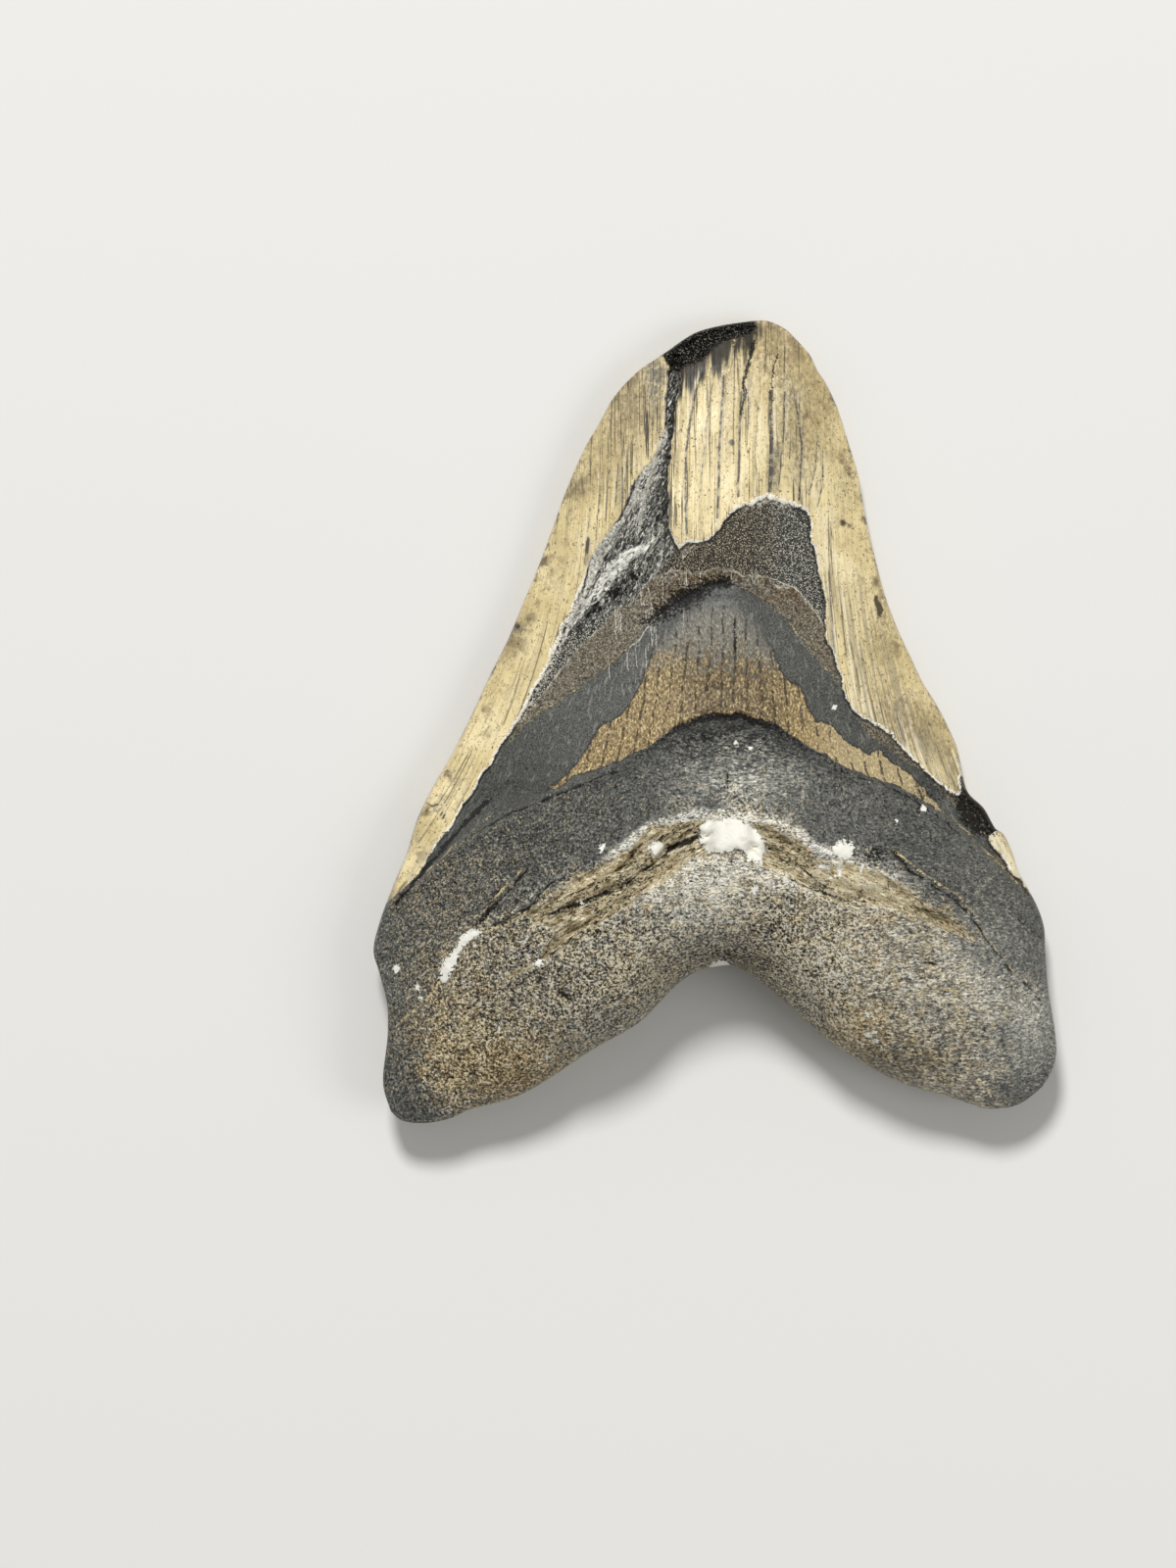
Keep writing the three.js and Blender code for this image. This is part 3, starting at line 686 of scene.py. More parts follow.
    dim_zones: Zones = (
        (-37, -11.4, 7, 4.5, 0.45), (1.5, 20.4, 6, 2.2, 0.75), (-9.6, 5, 2, 8, 0.25),
        (20, 0, 8, 5, 0.14), (-5, 17.6, 4, 1.6, 0.4), (28, -5.4, 4, 3, 0.3), (34, -10.6, 5, 3, 0.5),
        (-26, -7.4, 4, 0.9, 0.35), (-31, -10.4, 4, 0.9, 0.35),
    )  # fmt: skip
    bruise_zones: Zones = (
        (9.5, 40.2, 0.9, 4.4, 0.8), (11.8, 44, 2.4, 6, 0.36), (13.6, 40, 1.3, 4, 0.3),
        (-14.6, 36, 1.2, 3.2, 0.45), (-9.6, 55, 1.3, 4, 0.7), (-18.6, 29.6, 0.7, 3, 0.25),
        (-20.2, 26, 0.6, 3, 0.25), (-12.4, 52.5, 3, 4.5, 0.22), (5.2, 51, 1, 3.4, 0.5),
        (1.4, 50.6, 1, 3, 0.3), (-23, 37, 2.2, 1, 0.5), (-32, 14.4, 2.4, 1.2, 0.6),
        (-9.4, 50, 1, 4, 0.35), (18.4, 20, 0.7, 6, 0.3), (20.5, 38, 1.6, 3, 0.3),
        (12.6, 52, 2, 3, 0.3),
    )  # fmt: skip
    # Brightness of the root by zone; the first zone, over the collar's middle, is a painted sheen.
    lift_zones: Zones = (
        (4, -8.8, 11, 4.4, 0.125), (0, -29.6, 8, 5, 0.1), (13, -9, 4, 4, 0.04),
        (44, -37, 7, 9, 0.1), (49, -51, 5, 7, 0.12), (27, -55, 5, 3, -0.04),
        (-34, -57, 8, 4, -0.04), (21, -40, 8, 4, 0.03), (42, -24, 6, 5, 0.03),
        (-42, -52, 6, 4, 0.03), (-3, -25, 3, 2.6, 0.08), (-15, -37, 9, 6, 0.06),
        (35, -40, 11, 8, 0.03), (14, -35, 7, 6, 0.03), (52, -49, 4, 8, 0.1), (-14, -46, 5, 4, 0.03),
        (14, -45, 5, 4, 0.03), (9, -33, 3, 2.4, -0.07), (3, -38, 6, 1.6, -0.07),
        (-9, -20.2, 4, 2.4, 0.2), (-30, -19, 7, 4, -0.04), (18, -40, 6, 4, 0.04),
        (-15, -25, 4.6, 2.6, 0.06), (-25, -31, 5, 3, 0.06), (8, -22.6, 3, 1.6, -0.03),
        (18.6, -25.2, 6, 2.4, 0.26), (10, -19.4, 4, 2, 0.1), (22, -26, 7, 3, 0.08),
        (26, -27.4, 6, 2, 0.12), (32, -54, 9, 4, -0.07), (-51, -47, 3, 6, -0.03),
        (20, -14, 8, 5, 0.02),
    )  # fmt: skip
    dust_zones: Zones = (
        (-42, -27, 13, 9, 1), (-30, -18, 10, 6, 0.5), (-46, -42, 9, 10, 0.8),
        (-26, -46, 16, 9, 0.6), (12, -40, 9, 6, 0.8), (-6, -41, 9, 5, 0.8), (20, -13, 12, 5, 0.3),
        (44, -25, 8, 6, 0.4), (-20, -13, 8, 4, 0.5), (28, -48, 12, 6, 0.4),
    )  # fmt: skip
    rugged_zones: Zones = (
        (-28, -40, 20, 12, 0.6), (-14, -40, 8, 8, 0.45), (13, -39, 8, 7, 0.7), (2, -32, 8, 6, 0.5),
        (3, -9, 10, 5, 0.6), (3, -2.6, 14, 2.6, 0.6), (-15, -46, 6, 4, 1.7), (15, -45, 6, 4, 1.7),
        (-42, -56, 12, 8, 0.35), (30, -42, 14, 10, 0.3), (-40, -26, 10, 7, 0.2),
        (26, -52, 10, 6, 0.3), (24, -28, 10, 5, 0.5),
    )  # fmt: skip
    tan_zones: Zones = (
        (-13, 51.5, 5, 7, 0.95), (11, 60, 5, 4, 0.9), (17, 52, 4, 8, 0.6), (1, 56.4, 10, 4, 0.5),
        (11, 51, 4, 6, 0.5), (15, 43, 3, 6, 0.45), (-20, 41, 3, 5, 0.55), (-15, 44, 3, 5, 0.45),
        (28.4, 1, 4, 4, 0.6), (34, -2, 4, 4, 0.5), (39, -9, 2.4, 4, 0.5), (28, 15, 2, 4, 0.4),
        (-33.4, 10.6, 2, 2.4, 0.6), (46, -20, 2.4, 4, 0.5), (-22.4, 36.4, 2.2, 1.2, 0.7),
        (-33, 13, 2.2, 3, 0.5), (-31, 15.5, 1.4, 2, 0.5), (26, 12, 3, 9, 0.5), (32, 0, 4, 6, 0.5),
        (-24, 28, 3, 6, 0.25), (20, 31.7, 1, 1, 0.6), (-47.5, -19, 2.6, 4, 0.35),
    )  # fmt: skip
    dark_spots: Zones = (
        (26, 17.8, 0.55, 1.3, 1), (25.7, 19.4, 0.35, 0.5, 0.8), (20.2, 31.6, 0.7, 0.8, 0.7),
        (21.3, 31, 0.4, 0.4, 0.5), (2.5, 44.3, 0.5, 0.7, 0.7), (5.3, 43, 0.4, 0.5, 0.6),
        (3.5, 47, 0.4, 0.5, 0.5), (-31.4, 15, 0.9, 0.7, 0.6), (-30.6, 13.4, 0.5, 0.4, 0.5),
        (9.6, 40.4, 0.9, 3, 0.4), (14.6, 49, 0.7, 1.4, 0.4), (-27.2, 21, 0.5, 0.6, 0.4),
        (22.4, 24, 0.4, 0.7, 0.4), (18.4, 44, 0.7, 1.6, 0.35), (-21, 36, 0.8, 1.2, 0.35),
    )  # fmt: skip


# Mesh


class Side(Enum):
    """The two faces of the tooth."""

    LINGUAL = "lingual"
    LABIAL = "labial"


@dataclass(frozen=True)
class MarkDepths:
    """How far the markings of the lingual face stand up or go in, in millimetres."""

    rubble: float = 0.7
    channel: float = 0.5
    splinter: float = 0.6
    grain: float = 0.08
    slate: float = 0.14
    band: float = 0.12
    black: float = 0.5
    tip: float = 1.5
    groove: float = 0.7
    lip: float = 0.45
    lip_foot: float = 0.4
    lumps: float = 0.5
    fine_lumps: float = 0.28
    fibre_crest: float = 0.1
    fibre: float = 2.6
    crease: float = 0.8
    root_crack: float = 1.2
    crown_crack: float = 0.35
    seam: float = 0.16
    filling: float = 0.3


@dataclass(frozen=True)
class RootTones:
    """Middle tone, ochre share and ruggedness of the root, what its lobes add, the painted shade
    under the root line and the painted sheen that lightens the right lobe.
    """

    lift: float = 0.405
    crease_lift: float = 0.06
    lobe_lift: float = 0.125
    right_sheen_lift: float = 0.06
    hollow_shade: float = 0.13
    gilt: float = -0.2
    lobe_gilt: float = 0.5
    rugged: float = 1.2
    lobe_rugged: float = 0.4
    crinkle: float = 0.7


@dataclass
class ToothPiece:
    """The whole tooth as one closed mesh, with the fields that its finish reads."""

    plan: ToothPlan
    relief: ToothRelief
    marks: Markings
    sight: Sight
    depths: MarkDepths = MarkDepths()
    tones: RootTones = RootTones()
    node: str = "tooth"
    slot: str = "fossil"
    border_wander: float = 0.42
    border_tremble: float = 0.16
    root_wander: float = 0.3
    rim_fade: float = 1.6
    fan_axis: float = 4.0
    fan_top: float = 40.0
    fan_rate: float = 0.0173

    def surface_relief(self, x: Array, y: Array, marks: dict[str, Array]) -> Array:
        """Relief of the lingual face: flaked layers, breaks, creases, cracks and root lumps.

        Args:
            x: Points across on the sighting plane.
            y: Points along on the sighting plane.
            marks: The fields of the markings.

        Returns:
            Height to add, in millimetres.
        """
        d = self.depths
        flat = np.zeros_like(x)
        spot = np.column_stack([x, y, flat])
        root, flake = marks["root"], marks["flake"]
        on_root = smooth(root, 0.0, 2.5)
        run_out = smooth(-root, -0.5, 4.0)
        slope = smooth(marks["bevel"], -0.6, 0.4)
        ledge = smooth(flake, -0.15, 0.45)
        ledge += slope * (smooth(flake, -0.2, 1.7) - ledge)
        flaked = ledge * (1.0 - on_root)
        drop = self.relief.enamel * np.maximum(run_out, smooth(x, 36.0, 40.0) * 1.5)
        height = -drop * flaked
        channel = smooth(marks["channel"], -0.4, 0.8) * flaked
        lean = np.column_stack([1.2 * (x - 0.45 * y), 0.45 * y, flat])
        height += channel * (d.rubble * rough(lean, 0.8, 3, 11) - d.channel)
        height += d.splinter * smooth(marks["splinter"], -0.3, 0.5) * flaked
        grain = smooth(marks["granular"], -0.2, 0.4) * flaked
        height += grain * d.grain * rough(spot, 1.1, 2, 21)
        height -= d.slate * smooth(marks["grey"], -0.1, 0.4) * flaked
        height += d.band * smooth(marks["bourlette"], -0.1, 0.4) * flaked
        height -= d.black * marks["black"] * (1.0 - on_root)
        height -= d.tip * smooth(marks["tip"], -0.1, 0.9) * (1.0 + 0.3 * rough(spot, 0.6, 3, 31))
        groove = bell(root - 0.8, 0.9) * smooth(14.0 - np.abs(x - 4.0), -8.0, 6.0)
        height -= d.groove * groove
        roll = smooth(np.abs(x - 3.0), 8.0, 14.0)
        height += roll * (d.lip * bell(root - 0.4, 0.55) - d.lip_foot * bell(root - 1.9, 0.8))
        lumps = d.lumps * rough(spot, 0.13, 3, 41) + d.fine_lumps * rough(spot, 0.5, 2, 51)
        height += on_root * lumps
        gold = smooth(marks["gold"], -0.8, 1.6) * on_root
        fibre = np.column_stack([0.4 * marks["arm"][:, 0], 1.1 * marks["arm"][:, 1], flat])
        height += gold * (d.fibre_crest - d.fibre * np.abs(rough(fibre, 0.6, 3, 61)))
        height -= d.crease * smooth(marks["gold"], -0.2, 1.0) * on_root
        _, gap, half = marks["crack"].T
        depth = np.where(root > 0.0, d.root_crack, d.crown_crack) * np.minimum(half / 0.4, 1.2)
        height -= depth * bell(gap, half + 0.3)
        _, gap, half = marks["seam"].T
        height -= d.seam * bell(gap, half + 0.25) * (flake < 0.0)
        height += d.filling * smooth(marks["white"], -0.3, 0.3)
        return height

    def fields(self, side: Side, x: Array, y: Array) -> dict[str, Array]:
        """Fields of one face at given points: its markings, or the plain back."""
        return self.drawn(x, y) if side is Side.LINGUAL else self.undrawn(x, y)

    def drawn(self, x: Array, y: Array) -> dict[str, Array]:
        """Fields of the markings at points of the sighting plane, with ragged borders.

        Args:
            x: Points across.
            y: Points along.

        Returns:
            Each field by name: signed distances, line fields and stain strengths.
        """
        m, tones = self.marks, self.tones
        flat = np.zeros_like(x)
        spot = np.column_stack([x, y, flat])
        wander, tremble = self.border_wander, self.border_tremble
        wx = x + wander * rough(spot, 0.45, 3, 1) + tremble * rough(spot, 1.7, 1, 2)
        wy = y + wander * rough(spot, 0.45, 3, 3) + tremble * rough(spot, 1.7, 1, 4)
        sx = x + self.root_wander * rough(spot, 0.5, 2, 5)
        sy = y + self.root_wander * rough(spot, 0.5, 2, 6)
        right_arm = x > 2.0
        along = np.where(right_arm, 0.92 * x - 0.39 * y, -0.85 * x - 0.53 * y)
        across = np.where(right_arm, 0.39 * x + 0.92 * y, -0.53 * x + 0.85 * y)
        crown = y > 8.0
        along = np.where(crown, 0.75 * x + 0.66 * y, along)
        across = np.where(crown, -0.66 * x + 0.75 * y, across)
        root = inside(sx, sy, m.root)
        lobe = smooth(root + 5.0 * rough(spot, 0.11, 2, 7), 8.0, 17.0)
        # Painted shadow just under the root line, and painted shade darkening the collar below it.
        shadow = smooth(root, -0.3, 0.2) * smooth(-root, -1.5, -0.4) * bell(x - 3.0, 15.0)
        hollow_shade = tones.hollow_shade * bell(root, 2.8) * bell(x - 3.0, 17.0)
        crust = strokes(sx, sy, m.crust_lines)
        crusted = smooth(crust[:, 2] - crust[:, 1], -0.8, 0.3)
        gold = np.maximum(inside(wx, wy, m.gold_left), inside(wx, wy, m.gold_right))
        # The right lobe is lightened further as a painted sheen.
        lobe_lift = tones.lobe_lift + tones.right_sheen_lift * smooth(x, 4.0, 30.0)
        lift = tones.lift + tones.crease_lift * smooth(gold, -1.0, 1.0) + lobe * lobe_lift
        rugged = (tones.rugged + stains(x, y, m.rugged_zones)) * (1.0 + tones.lobe_rugged * lobe)
        crinkled = np.maximum(bell(x - 4.0, 16.0) * (1.0 - lobe), smooth(x, 12.0, 34.0))
        rings = {
            "flake": m.flaked,
            "tip": m.tip_break,
            "stain": m.tip_stain,
            "granular": m.granular,
            "channel": m.channel,
            "bevel": m.bevel,
            "splinter": m.splinter,
            "grey": m.grey,
            "bourlette": m.bourlette,
        }
        return {name: inside(wx, wy, ring) for name, ring in rings.items()} | {
            "root": root,
            "gold": gold,
            "white": np.max([inside(wx, wy, ring) for ring in m.white], axis=0),
            "speck": stains(wx, wy, m.specks),
            "black": np.maximum(stains(wx, wy, m.black_zones), 0.95 * shadow),
            "gilt": tones.gilt + tones.lobe_gilt * lobe + stains(x, y, m.gold_zones),
            "pale": np.maximum(stains(x, y, m.pale_zones), crusted),
            "dim": stains(wx, wy, m.dim_zones),
            "bruise": stains(wx, wy, m.bruise_zones),
            "lift": lift + stains(x, y, m.lift_zones) - hollow_shade,
            "rugged": rugged * smooth(root, -2.5, 3.0),
            "dust": stains(x, y, m.dust_zones),
            "drawn": tones.crinkle * crinkled,
            "chips": stains(x, y, m.chip_zones),
            "drip": strokes(x, y, m.drips),
            "lean": np.column_stack([x - 0.42 * y, y, flat]),
            "tan": stains(x, y, m.tan_zones),
            "spot": stains(wx, wy, m.dark_spots),
            "crack": strokes(sx, sy, m.black_lines),
            "seam": strokes(x + 0.2 * (sx - x), y, m.growth_lines),
            "lip": 0.1 + stains(x, y, m.lip_zones),
            "vein": strokes(sx, sy, m.pale_lines),
            "arm": np.column_stack([along, across, flat]),
        }

    def undrawn(self, x: Array, y: Array) -> dict[str, Array]:
        """Fields for the labial face: whole enamel over a bare root, with no marking near.

        Args:
            x: Points across.
            y: Points along.

        Returns:
            The same fields as drawn gives.
        """
        far = np.full(x.shape, -9.0)
        none = np.zeros(x.shape)
        spot = np.column_stack([x, y, none])
        border = -24.0 + 0.004 * (x - 2.0) ** 2 + 0.9 * rough(spot, 0.25, 3, 71) - y
        line = np.column_stack([none + 9.0, none + 9.0, none + 0.1])
        rings = "flake tip stain granular channel bevel splinter grey bourlette gold white"
        zones = "speck black spot lip chips pale dim bruise"
        fields = {name: far for name in rings.split()}
        fields |= {name: none for name in zones.split()}
        fields |= {name: line for name in ("crack", "seam", "vein", "drip")}
        fields |= {
            "root": border,
            "arm": spot,
            "lean": spot,
            "gilt": 0.4 + 0.4 * rough(spot, 0.06, 2, 72),
            "lift": 0.54 + 0.05 * rough(spot, 0.05, 2, 73),
            "tan": 0.35 + 0.4 * rough(spot, 0.07, 2, 74),
            "rugged": none + 1.3,
            "dust": none + 0.3,
            "drawn": none + 0.2,
        }
        return fields

    def build(self) -> bpy.types.Object:
        """Lays both faces over the plan patch, joins them at the rim and stores the fields.

        Returns:
            The finished object, at the origin.
        """
        gx, gy, outline = self.plan.patch()
        x, y = gx.ravel(), gy.ravel()
        gap, _, arc = to_line(x, y, outline)
        on_rim = np.zeros(gx.shape, bool)
        on_rim[[0, -1]] = True
        on_rim[:, [0, -1]] = True
        gap = np.where(on_rim.ravel(), 0.0, gap)

        bare = self.relief.face(x, y, gap, np.zeros_like(x))
        px, py = self.sight.flatten(x, y, bare)
        front = self.fields(Side.LINGUAL, px, py)
        fade = smooth(gap, 0.0, self.rim_fade)
        z = self.relief.face(x, y, gap, fade * self.surface_relief(px, py, front))

        inner = ~on_rim
        inner[:, 1::2] = False
        keep = inner.ravel()
        bx, by = x[keep], y[keep]
        back = self.fields(Side.LABIAL, bx, by)
        bz = self.relief.back(bx, by, gap[keep])

        points = np.vstack([np.column_stack([x, y, z]), np.column_stack([bx, by, bz])])
        points = self.fitted(points)
        fields = {name: np.concatenate([front[name], back[name]]) for name in front}
        sx, sy = np.concatenate([px, bx]), np.concatenate([py, by])
        fields["place"] = np.column_stack([sx, sy, points[:, 2]])
        spread = 1.0 + self.fan_rate * np.maximum(self.fan_top - sy, 0.0) ** 2 / 100.0
        fan = (sx - self.fan_axis) / spread + self.fan_axis
        fields["growth"] = np.column_stack([fan, sy, points[:, 2]])
        fields["rim"] = np.concatenate([gap, gap[keep]])
        fields["arc"] = np.concatenate([arc, arc[keep]])

        front_index = np.arange(x.size).reshape(gx.shape)
        back_index = front_index.copy()
        back_index[inner] = x.size + np.arange(bx.size)
        mesh = self.mesh(points, front_index, back_index)
        for name, values in fields.items():
            self.store(mesh, name, values)
        piece = bpy.data.objects.new(self.node + "_fossil", mesh)
        bpy.context.scene.collection.objects.link(piece)
        return piece

    def fitted(self, points: Array) -> Array:
        """Fits the points to the CAD node's box, side by side, in millimetres."""
        low, high = (np.array(corner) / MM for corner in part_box(self.node))
        own_low, own_high = points.min(0), points.max(0)
        return low + (points - own_low) * (high - low) / (own_high - own_low)

    @staticmethod
    def mesh(points: Array, front: Array, back: Array) -> bpy.types.Mesh:
        """Writes the faces: quads, half as many columns on the back, five-sided at its ends.

        Args:
            points: Vertices in millimetres.
            front: Vertex numbers of the lingual face by row and column.
            back: Vertex numbers of the labial face, the same at the rim.

        Returns:
            The mesh, smooth shaded.
        """
        upper = np.stack([front[:-1, :-1], front[:-1, 1:], front[1:, 1:], front[1:, :-1]], -1)
        half = back[:, ::2]
        under = np.stack([half[:-1, :-1], half[1:, :-1], half[1:, 1:], half[:-1, 1:]], -1)
        low = np.column_stack([under[0], front[0, 1::2]])
        top = np.column_stack([under[-1, :, :2], front[-1, 1::2], under[-1, :, 2:]])
        groups = [upper.reshape(-1, 4), under[1:-1].reshape(-1, 4), low, top]
        corners = np.concatenate([g.ravel() for g in groups]).astype(np.int32)
        sizes = np.concatenate([np.full(len(g), g.shape[1], np.int32) for g in groups])
        starts = np.concatenate([[0], np.cumsum(sizes)[:-1]]).astype(np.int32)
        made = bpy.data.meshes.new("tooth_fossil")
        made.vertices.add(len(points))
        made.vertices.foreach_set("co", (points * MM).astype(np.float32).ravel())
        made.loops.add(len(corners))
        made.loops.foreach_set("vertex_index", corners)
        made.polygons.add(len(sizes))
        made.polygons.foreach_set("loop_start", starts)
        made.polygons.foreach_set("use_smooth", np.ones(len(sizes), bool))
        made.update(calc_edges=True)
        made.validate()
        return made

    @staticmethod
    def store(mesh: bpy.types.Mesh, name: str, values: Array) -> None:
        """Stores a field on the mesh's vertices, as a number or a vector.

        Args:
            mesh: The mesh.
            name: Name of the field.
            values: One number or one row of three for each vertex.
        """
        kind, key = ("FLOAT_VECTOR", "vector") if values.ndim == 2 else ("FLOAT", "value")
        field = mesh.attributes.new(name, kind, "POINT")
        field.data.foreach_set(key, values.astype(np.float32).ravel())

    def place(self, piece: bpy.types.Object, finish: "FossilFinish") -> None:
        """Dresses the piece and hands it to the frame in place of its CAD node."""
        piece.data.materials.append(finish.material())
        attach(piece, "root")
        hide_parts(self.node)


# Finish


def tone(red: int, green: int, blue: int) -> Colour:
    """Linear colour of a display colour given as 0 to 255."""
    shares = np.array([red, green, blue]) / 255.0
    linear = np.where(shares <= 0.04045, shares / 12.92, ((shares + 0.055) / 1.055) ** 2.4)
    return (*(float(v) for v in linear), 1.0)


def stops(*rows: tuple[float, int, int, int]) -> Stops:
    """Stops of a ramp, from rows of a place and a display colour."""
    return tuple((place, tone(*colour)) for place, *colour in rows)


class Nodes:
    """Short hand for wiring a material's node tree."""

    def __init__(self, material: bpy.types.Material) -> None:
        """Takes over the material's tree and clears it."""
        material.use_nodes = True
        self.tree = material.node_tree
        self.tree.nodes.clear()

    def add(self, kind: str, **settings: object) -> bpy.types.Node:
        """Adds a node of a kind and sets its properties."""
        node = self.tree.nodes.new(kind)
        for key, value in settings.items():
            setattr(node, key, value)
        return node

    def feed(self, socket: Socket, value: "Socket | float | Colour") -> None:
        """Links a socket to another, or sets its value."""
        if isinstance(value, bpy.types.NodeSocket):
            self.tree.links.new(value, socket)
        else:
            socket.default_value = value

    def field(self, name: str) -> Socket:
        """Number field of the mesh."""
        return self.add("ShaderNodeAttribute", attribute_name=name).outputs["Fac"]

    def vector(self, name: str) -> Socket:
        """Vector field of the mesh."""
        return self.add("ShaderNodeAttribute", attribute_name=name).outputs["Vector"]

    def math(
        self, operation: str, a: "Socket | float", b: "Socket | float" = 0.0, clamp: bool = False
    ) -> Socket:
        """Result of a sum on one or two numbers."""
        node = self.add("ShaderNodeMath", operation=operation, use_clamp=clamp)
        self.feed(node.inputs[0], a)
        self.feed(node.inputs[1], b)
        return node.outputs[0]

    def step(
        self, value: Socket, low: float, high: float, start: float = 0.0, end: float = 1.0
    ) -> Socket:
        """Smooth step from start to end as value goes from low to high."""
        node = self.add("ShaderNodeMapRange", interpolation_type="SMOOTHSTEP")
        for key, number in zip(range(5), (value, low, high, start, end)):
            self.feed(node.inputs[key], number)
        return node.outputs[0]

    def mix(self, share: "Socket | float", a: "Socket | Colour", b: "Socket | Colour") -> Socket:
        """Blend of two colours."""
        node = self.add("ShaderNodeMix", data_type="RGBA")
        self.feed(node.inputs[0], share)
        self.feed(node.inputs[6], a)
        self.feed(node.inputs[7], b)
        return node.outputs[2]

    def times(self, a: "Socket | float", b: "Socket | float") -> Socket:
        """Product of two numbers."""
        return self.math("MULTIPLY", a, b)

    def linear(self, value: Socket, gain: float, offset: "Socket | float" = 0.0) -> Socket:
        """Value times gain plus offset."""
        node = self.add("ShaderNodeMath", operation="MULTIPLY_ADD")
        for key, number in zip(range(3), (value, gain, offset)):
            self.feed(node.inputs[key], number)
        return node.outputs[0]

    def centred(self, noise: Socket) -> Socket:
        """A noise shifted to lie about 0."""
        return self.linear(noise, 1.0, -0.5)

    def plus(self, base: Socket, extra: Socket, gain: float) -> Socket:
        """Base plus gain times extra."""
        return self.linear(extra, gain, base)

    def blend(self, share: "Socket | float", a: "Socket | float", b: "Socket | float") -> Socket:
        """Blend of two numbers: a where share is 0, b where it is 1."""
        return self.math("ADD", a, self.times(share, self.math("SUBTRACT", b, a)))

    def noise(
        self,
        vector: Socket,
        scale: float,
        detail: float = 2.0,
        roughness: float = 0.5,
        warp: float = 0.0,
    ) -> Socket:
        """Fractal noise in space, about 0.5."""
        return self.fractal("3D", vector, (scale, detail, roughness, warp))

    def drawn(
        self, vector: Socket, by: Point, detail: float, roughness: float, warp: float
    ) -> Socket:
        """Fractal noise of two coordinates, drawn out by a different scale along each."""
        return self.fractal("2D", self.stretch(vector, (*by, 1.0)), (1.0, detail, roughness, warp))

    def fractal(
        self, space: str, vector: Socket, settings: tuple[float, float, float, float]
    ) -> Socket:
        """Adds the noise node: scale, detail, roughness and warp."""
        node = self.add("ShaderNodeTexNoise", noise_dimensions=space)
        self.feed(node.inputs["Vector"], vector)
        for name, number in zip(("Scale", "Detail", "Roughness", "Distortion"), settings):
            self.feed(node.inputs[name], number)
        return node.outputs[0]

    def cells(self, vector: Socket, scale: float) -> Socket:
        """Round grains: falls with the distance from the nearest of scattered points, about 0.5."""
        node = self.add("ShaderNodeTexVoronoi")
        self.feed(node.inputs["Vector"], vector)
        self.feed(node.inputs["Scale"], scale)
        return self.linear(node.outputs["Distance"], -0.9, 1.0)

    def ridge(self, value: Socket, half: float) -> Socket:
        """Thin lines where a noise passes its middle value."""
        off = self.math("ABSOLUTE", self.math("SUBTRACT", value, 0.5))
        return self.step(off, half, half * 0.3)

    def stretch(self, vector: Socket, by: tuple[float, float, float]) -> Socket:
        """Vector scaled axis by axis."""
        node = self.add("ShaderNodeVectorMath", operation="MULTIPLY")
        self.feed(node.inputs[0], vector)
        node.inputs[1].default_value = by
        return node.outputs[0]

    def split(self, vector: Socket) -> tuple[Socket, Socket, Socket]:
        """The three numbers of a vector."""
        node = self.add("ShaderNodeSeparateXYZ")
        self.feed(node.inputs[0], vector)
        return node.outputs[0], node.outputs[1], node.outputs[2]

    def ramp(self, value: Socket, colours: Stops) -> Socket:
        """Colour read from a ramp of stops."""
        node = self.add("ShaderNodeValToRGB")
        ramp = node.color_ramp
        while len(ramp.elements) < len(colours):
            ramp.elements.new(0.5)
        for element, (place, colour) in zip(ramp.elements, colours):
            element.position = place
            element.color = colour
        self.feed(node.inputs[0], value)
        return node.outputs[0]


@dataclass(frozen=True)
class Texture:
    """Places and noises that the layers of the finish share."""

    place: Socket
    growth: Socket
    x: Socket
    y: Socket
    sand: Socket
    grit: Socket
    grain: Socket
    crinkle: Socket
    crumb: Socket
    fibre: Socket
    cloud: Socket
    blotch: Socket
    ragged: Socket

    @classmethod
    def wire(cls, n: Nodes) -> "Texture":
        """Wires the shared noises: sand, grain, crinkles, crumbs, fibres, clouds and blotches."""
        place = n.vector("place")
        x, y, _ = n.split(place)
        return cls(
            place=place,
            growth=n.vector("growth"),
            x=x,
            y=y,
            sand=n.noise(place, 4.0, 2.0, 0.6),
            grit=n.blend(0.6, n.noise(place, 3.0, 2.0, 0.62), n.cells(place, 3.8)),
            grain=n.blend(0.2, n.noise(place, 2.1, 3.0, 0.72), n.cells(place, 3.4)),
            crinkle=n.noise(n.stretch(place, (1.3, 2.9, 1.8)), 1.0, 3.0, 0.74, 0.6),
            crumb=n.drawn(n.vector("lean"), (2.8, 1.1), 4.0, 0.78, 1.0),
            fibre=n.drawn(n.vector("arm"), (0.8, 2.3), 4.0, 0.78, 0.9),
            cloud=n.noise(place, 0.15, 4.0, 0.55),
            blotch=n.noise(place, 0.6, 3.0, 0.6),
            ragged=n.linear(n.noise(place, 1.3, 3.0, 0.65), 0.8, -0.4),
        )

    def border(self, n: Nodes, name: str, wander: float) -> Socket:
        """Signed distance field of a marking, with its border made ragged."""
        return n.plus(n.field(name), self.ragged, wander)


@dataclass(frozen=True)
class Layer:
    """Colour and fine height, in millimetres, of one part of the surface."""

    colour: Socket
    height: "Socket | float"

    def under(self, n: Nodes, mask: Socket, top: "Layer") -> "Layer":
        """This layer with another laid over it where the mask is 1."""
        return Layer(n.mix(mask, self.colour, top.colour), n.blend(mask, self.height, top.height))

    def stained(self, n: Nodes, mask: Socket, colour: "Socket | Colour") -> "Layer":
        """This layer with a stain over its colour alone."""
        return Layer(n.mix(mask, self.colour, colour), self.height)


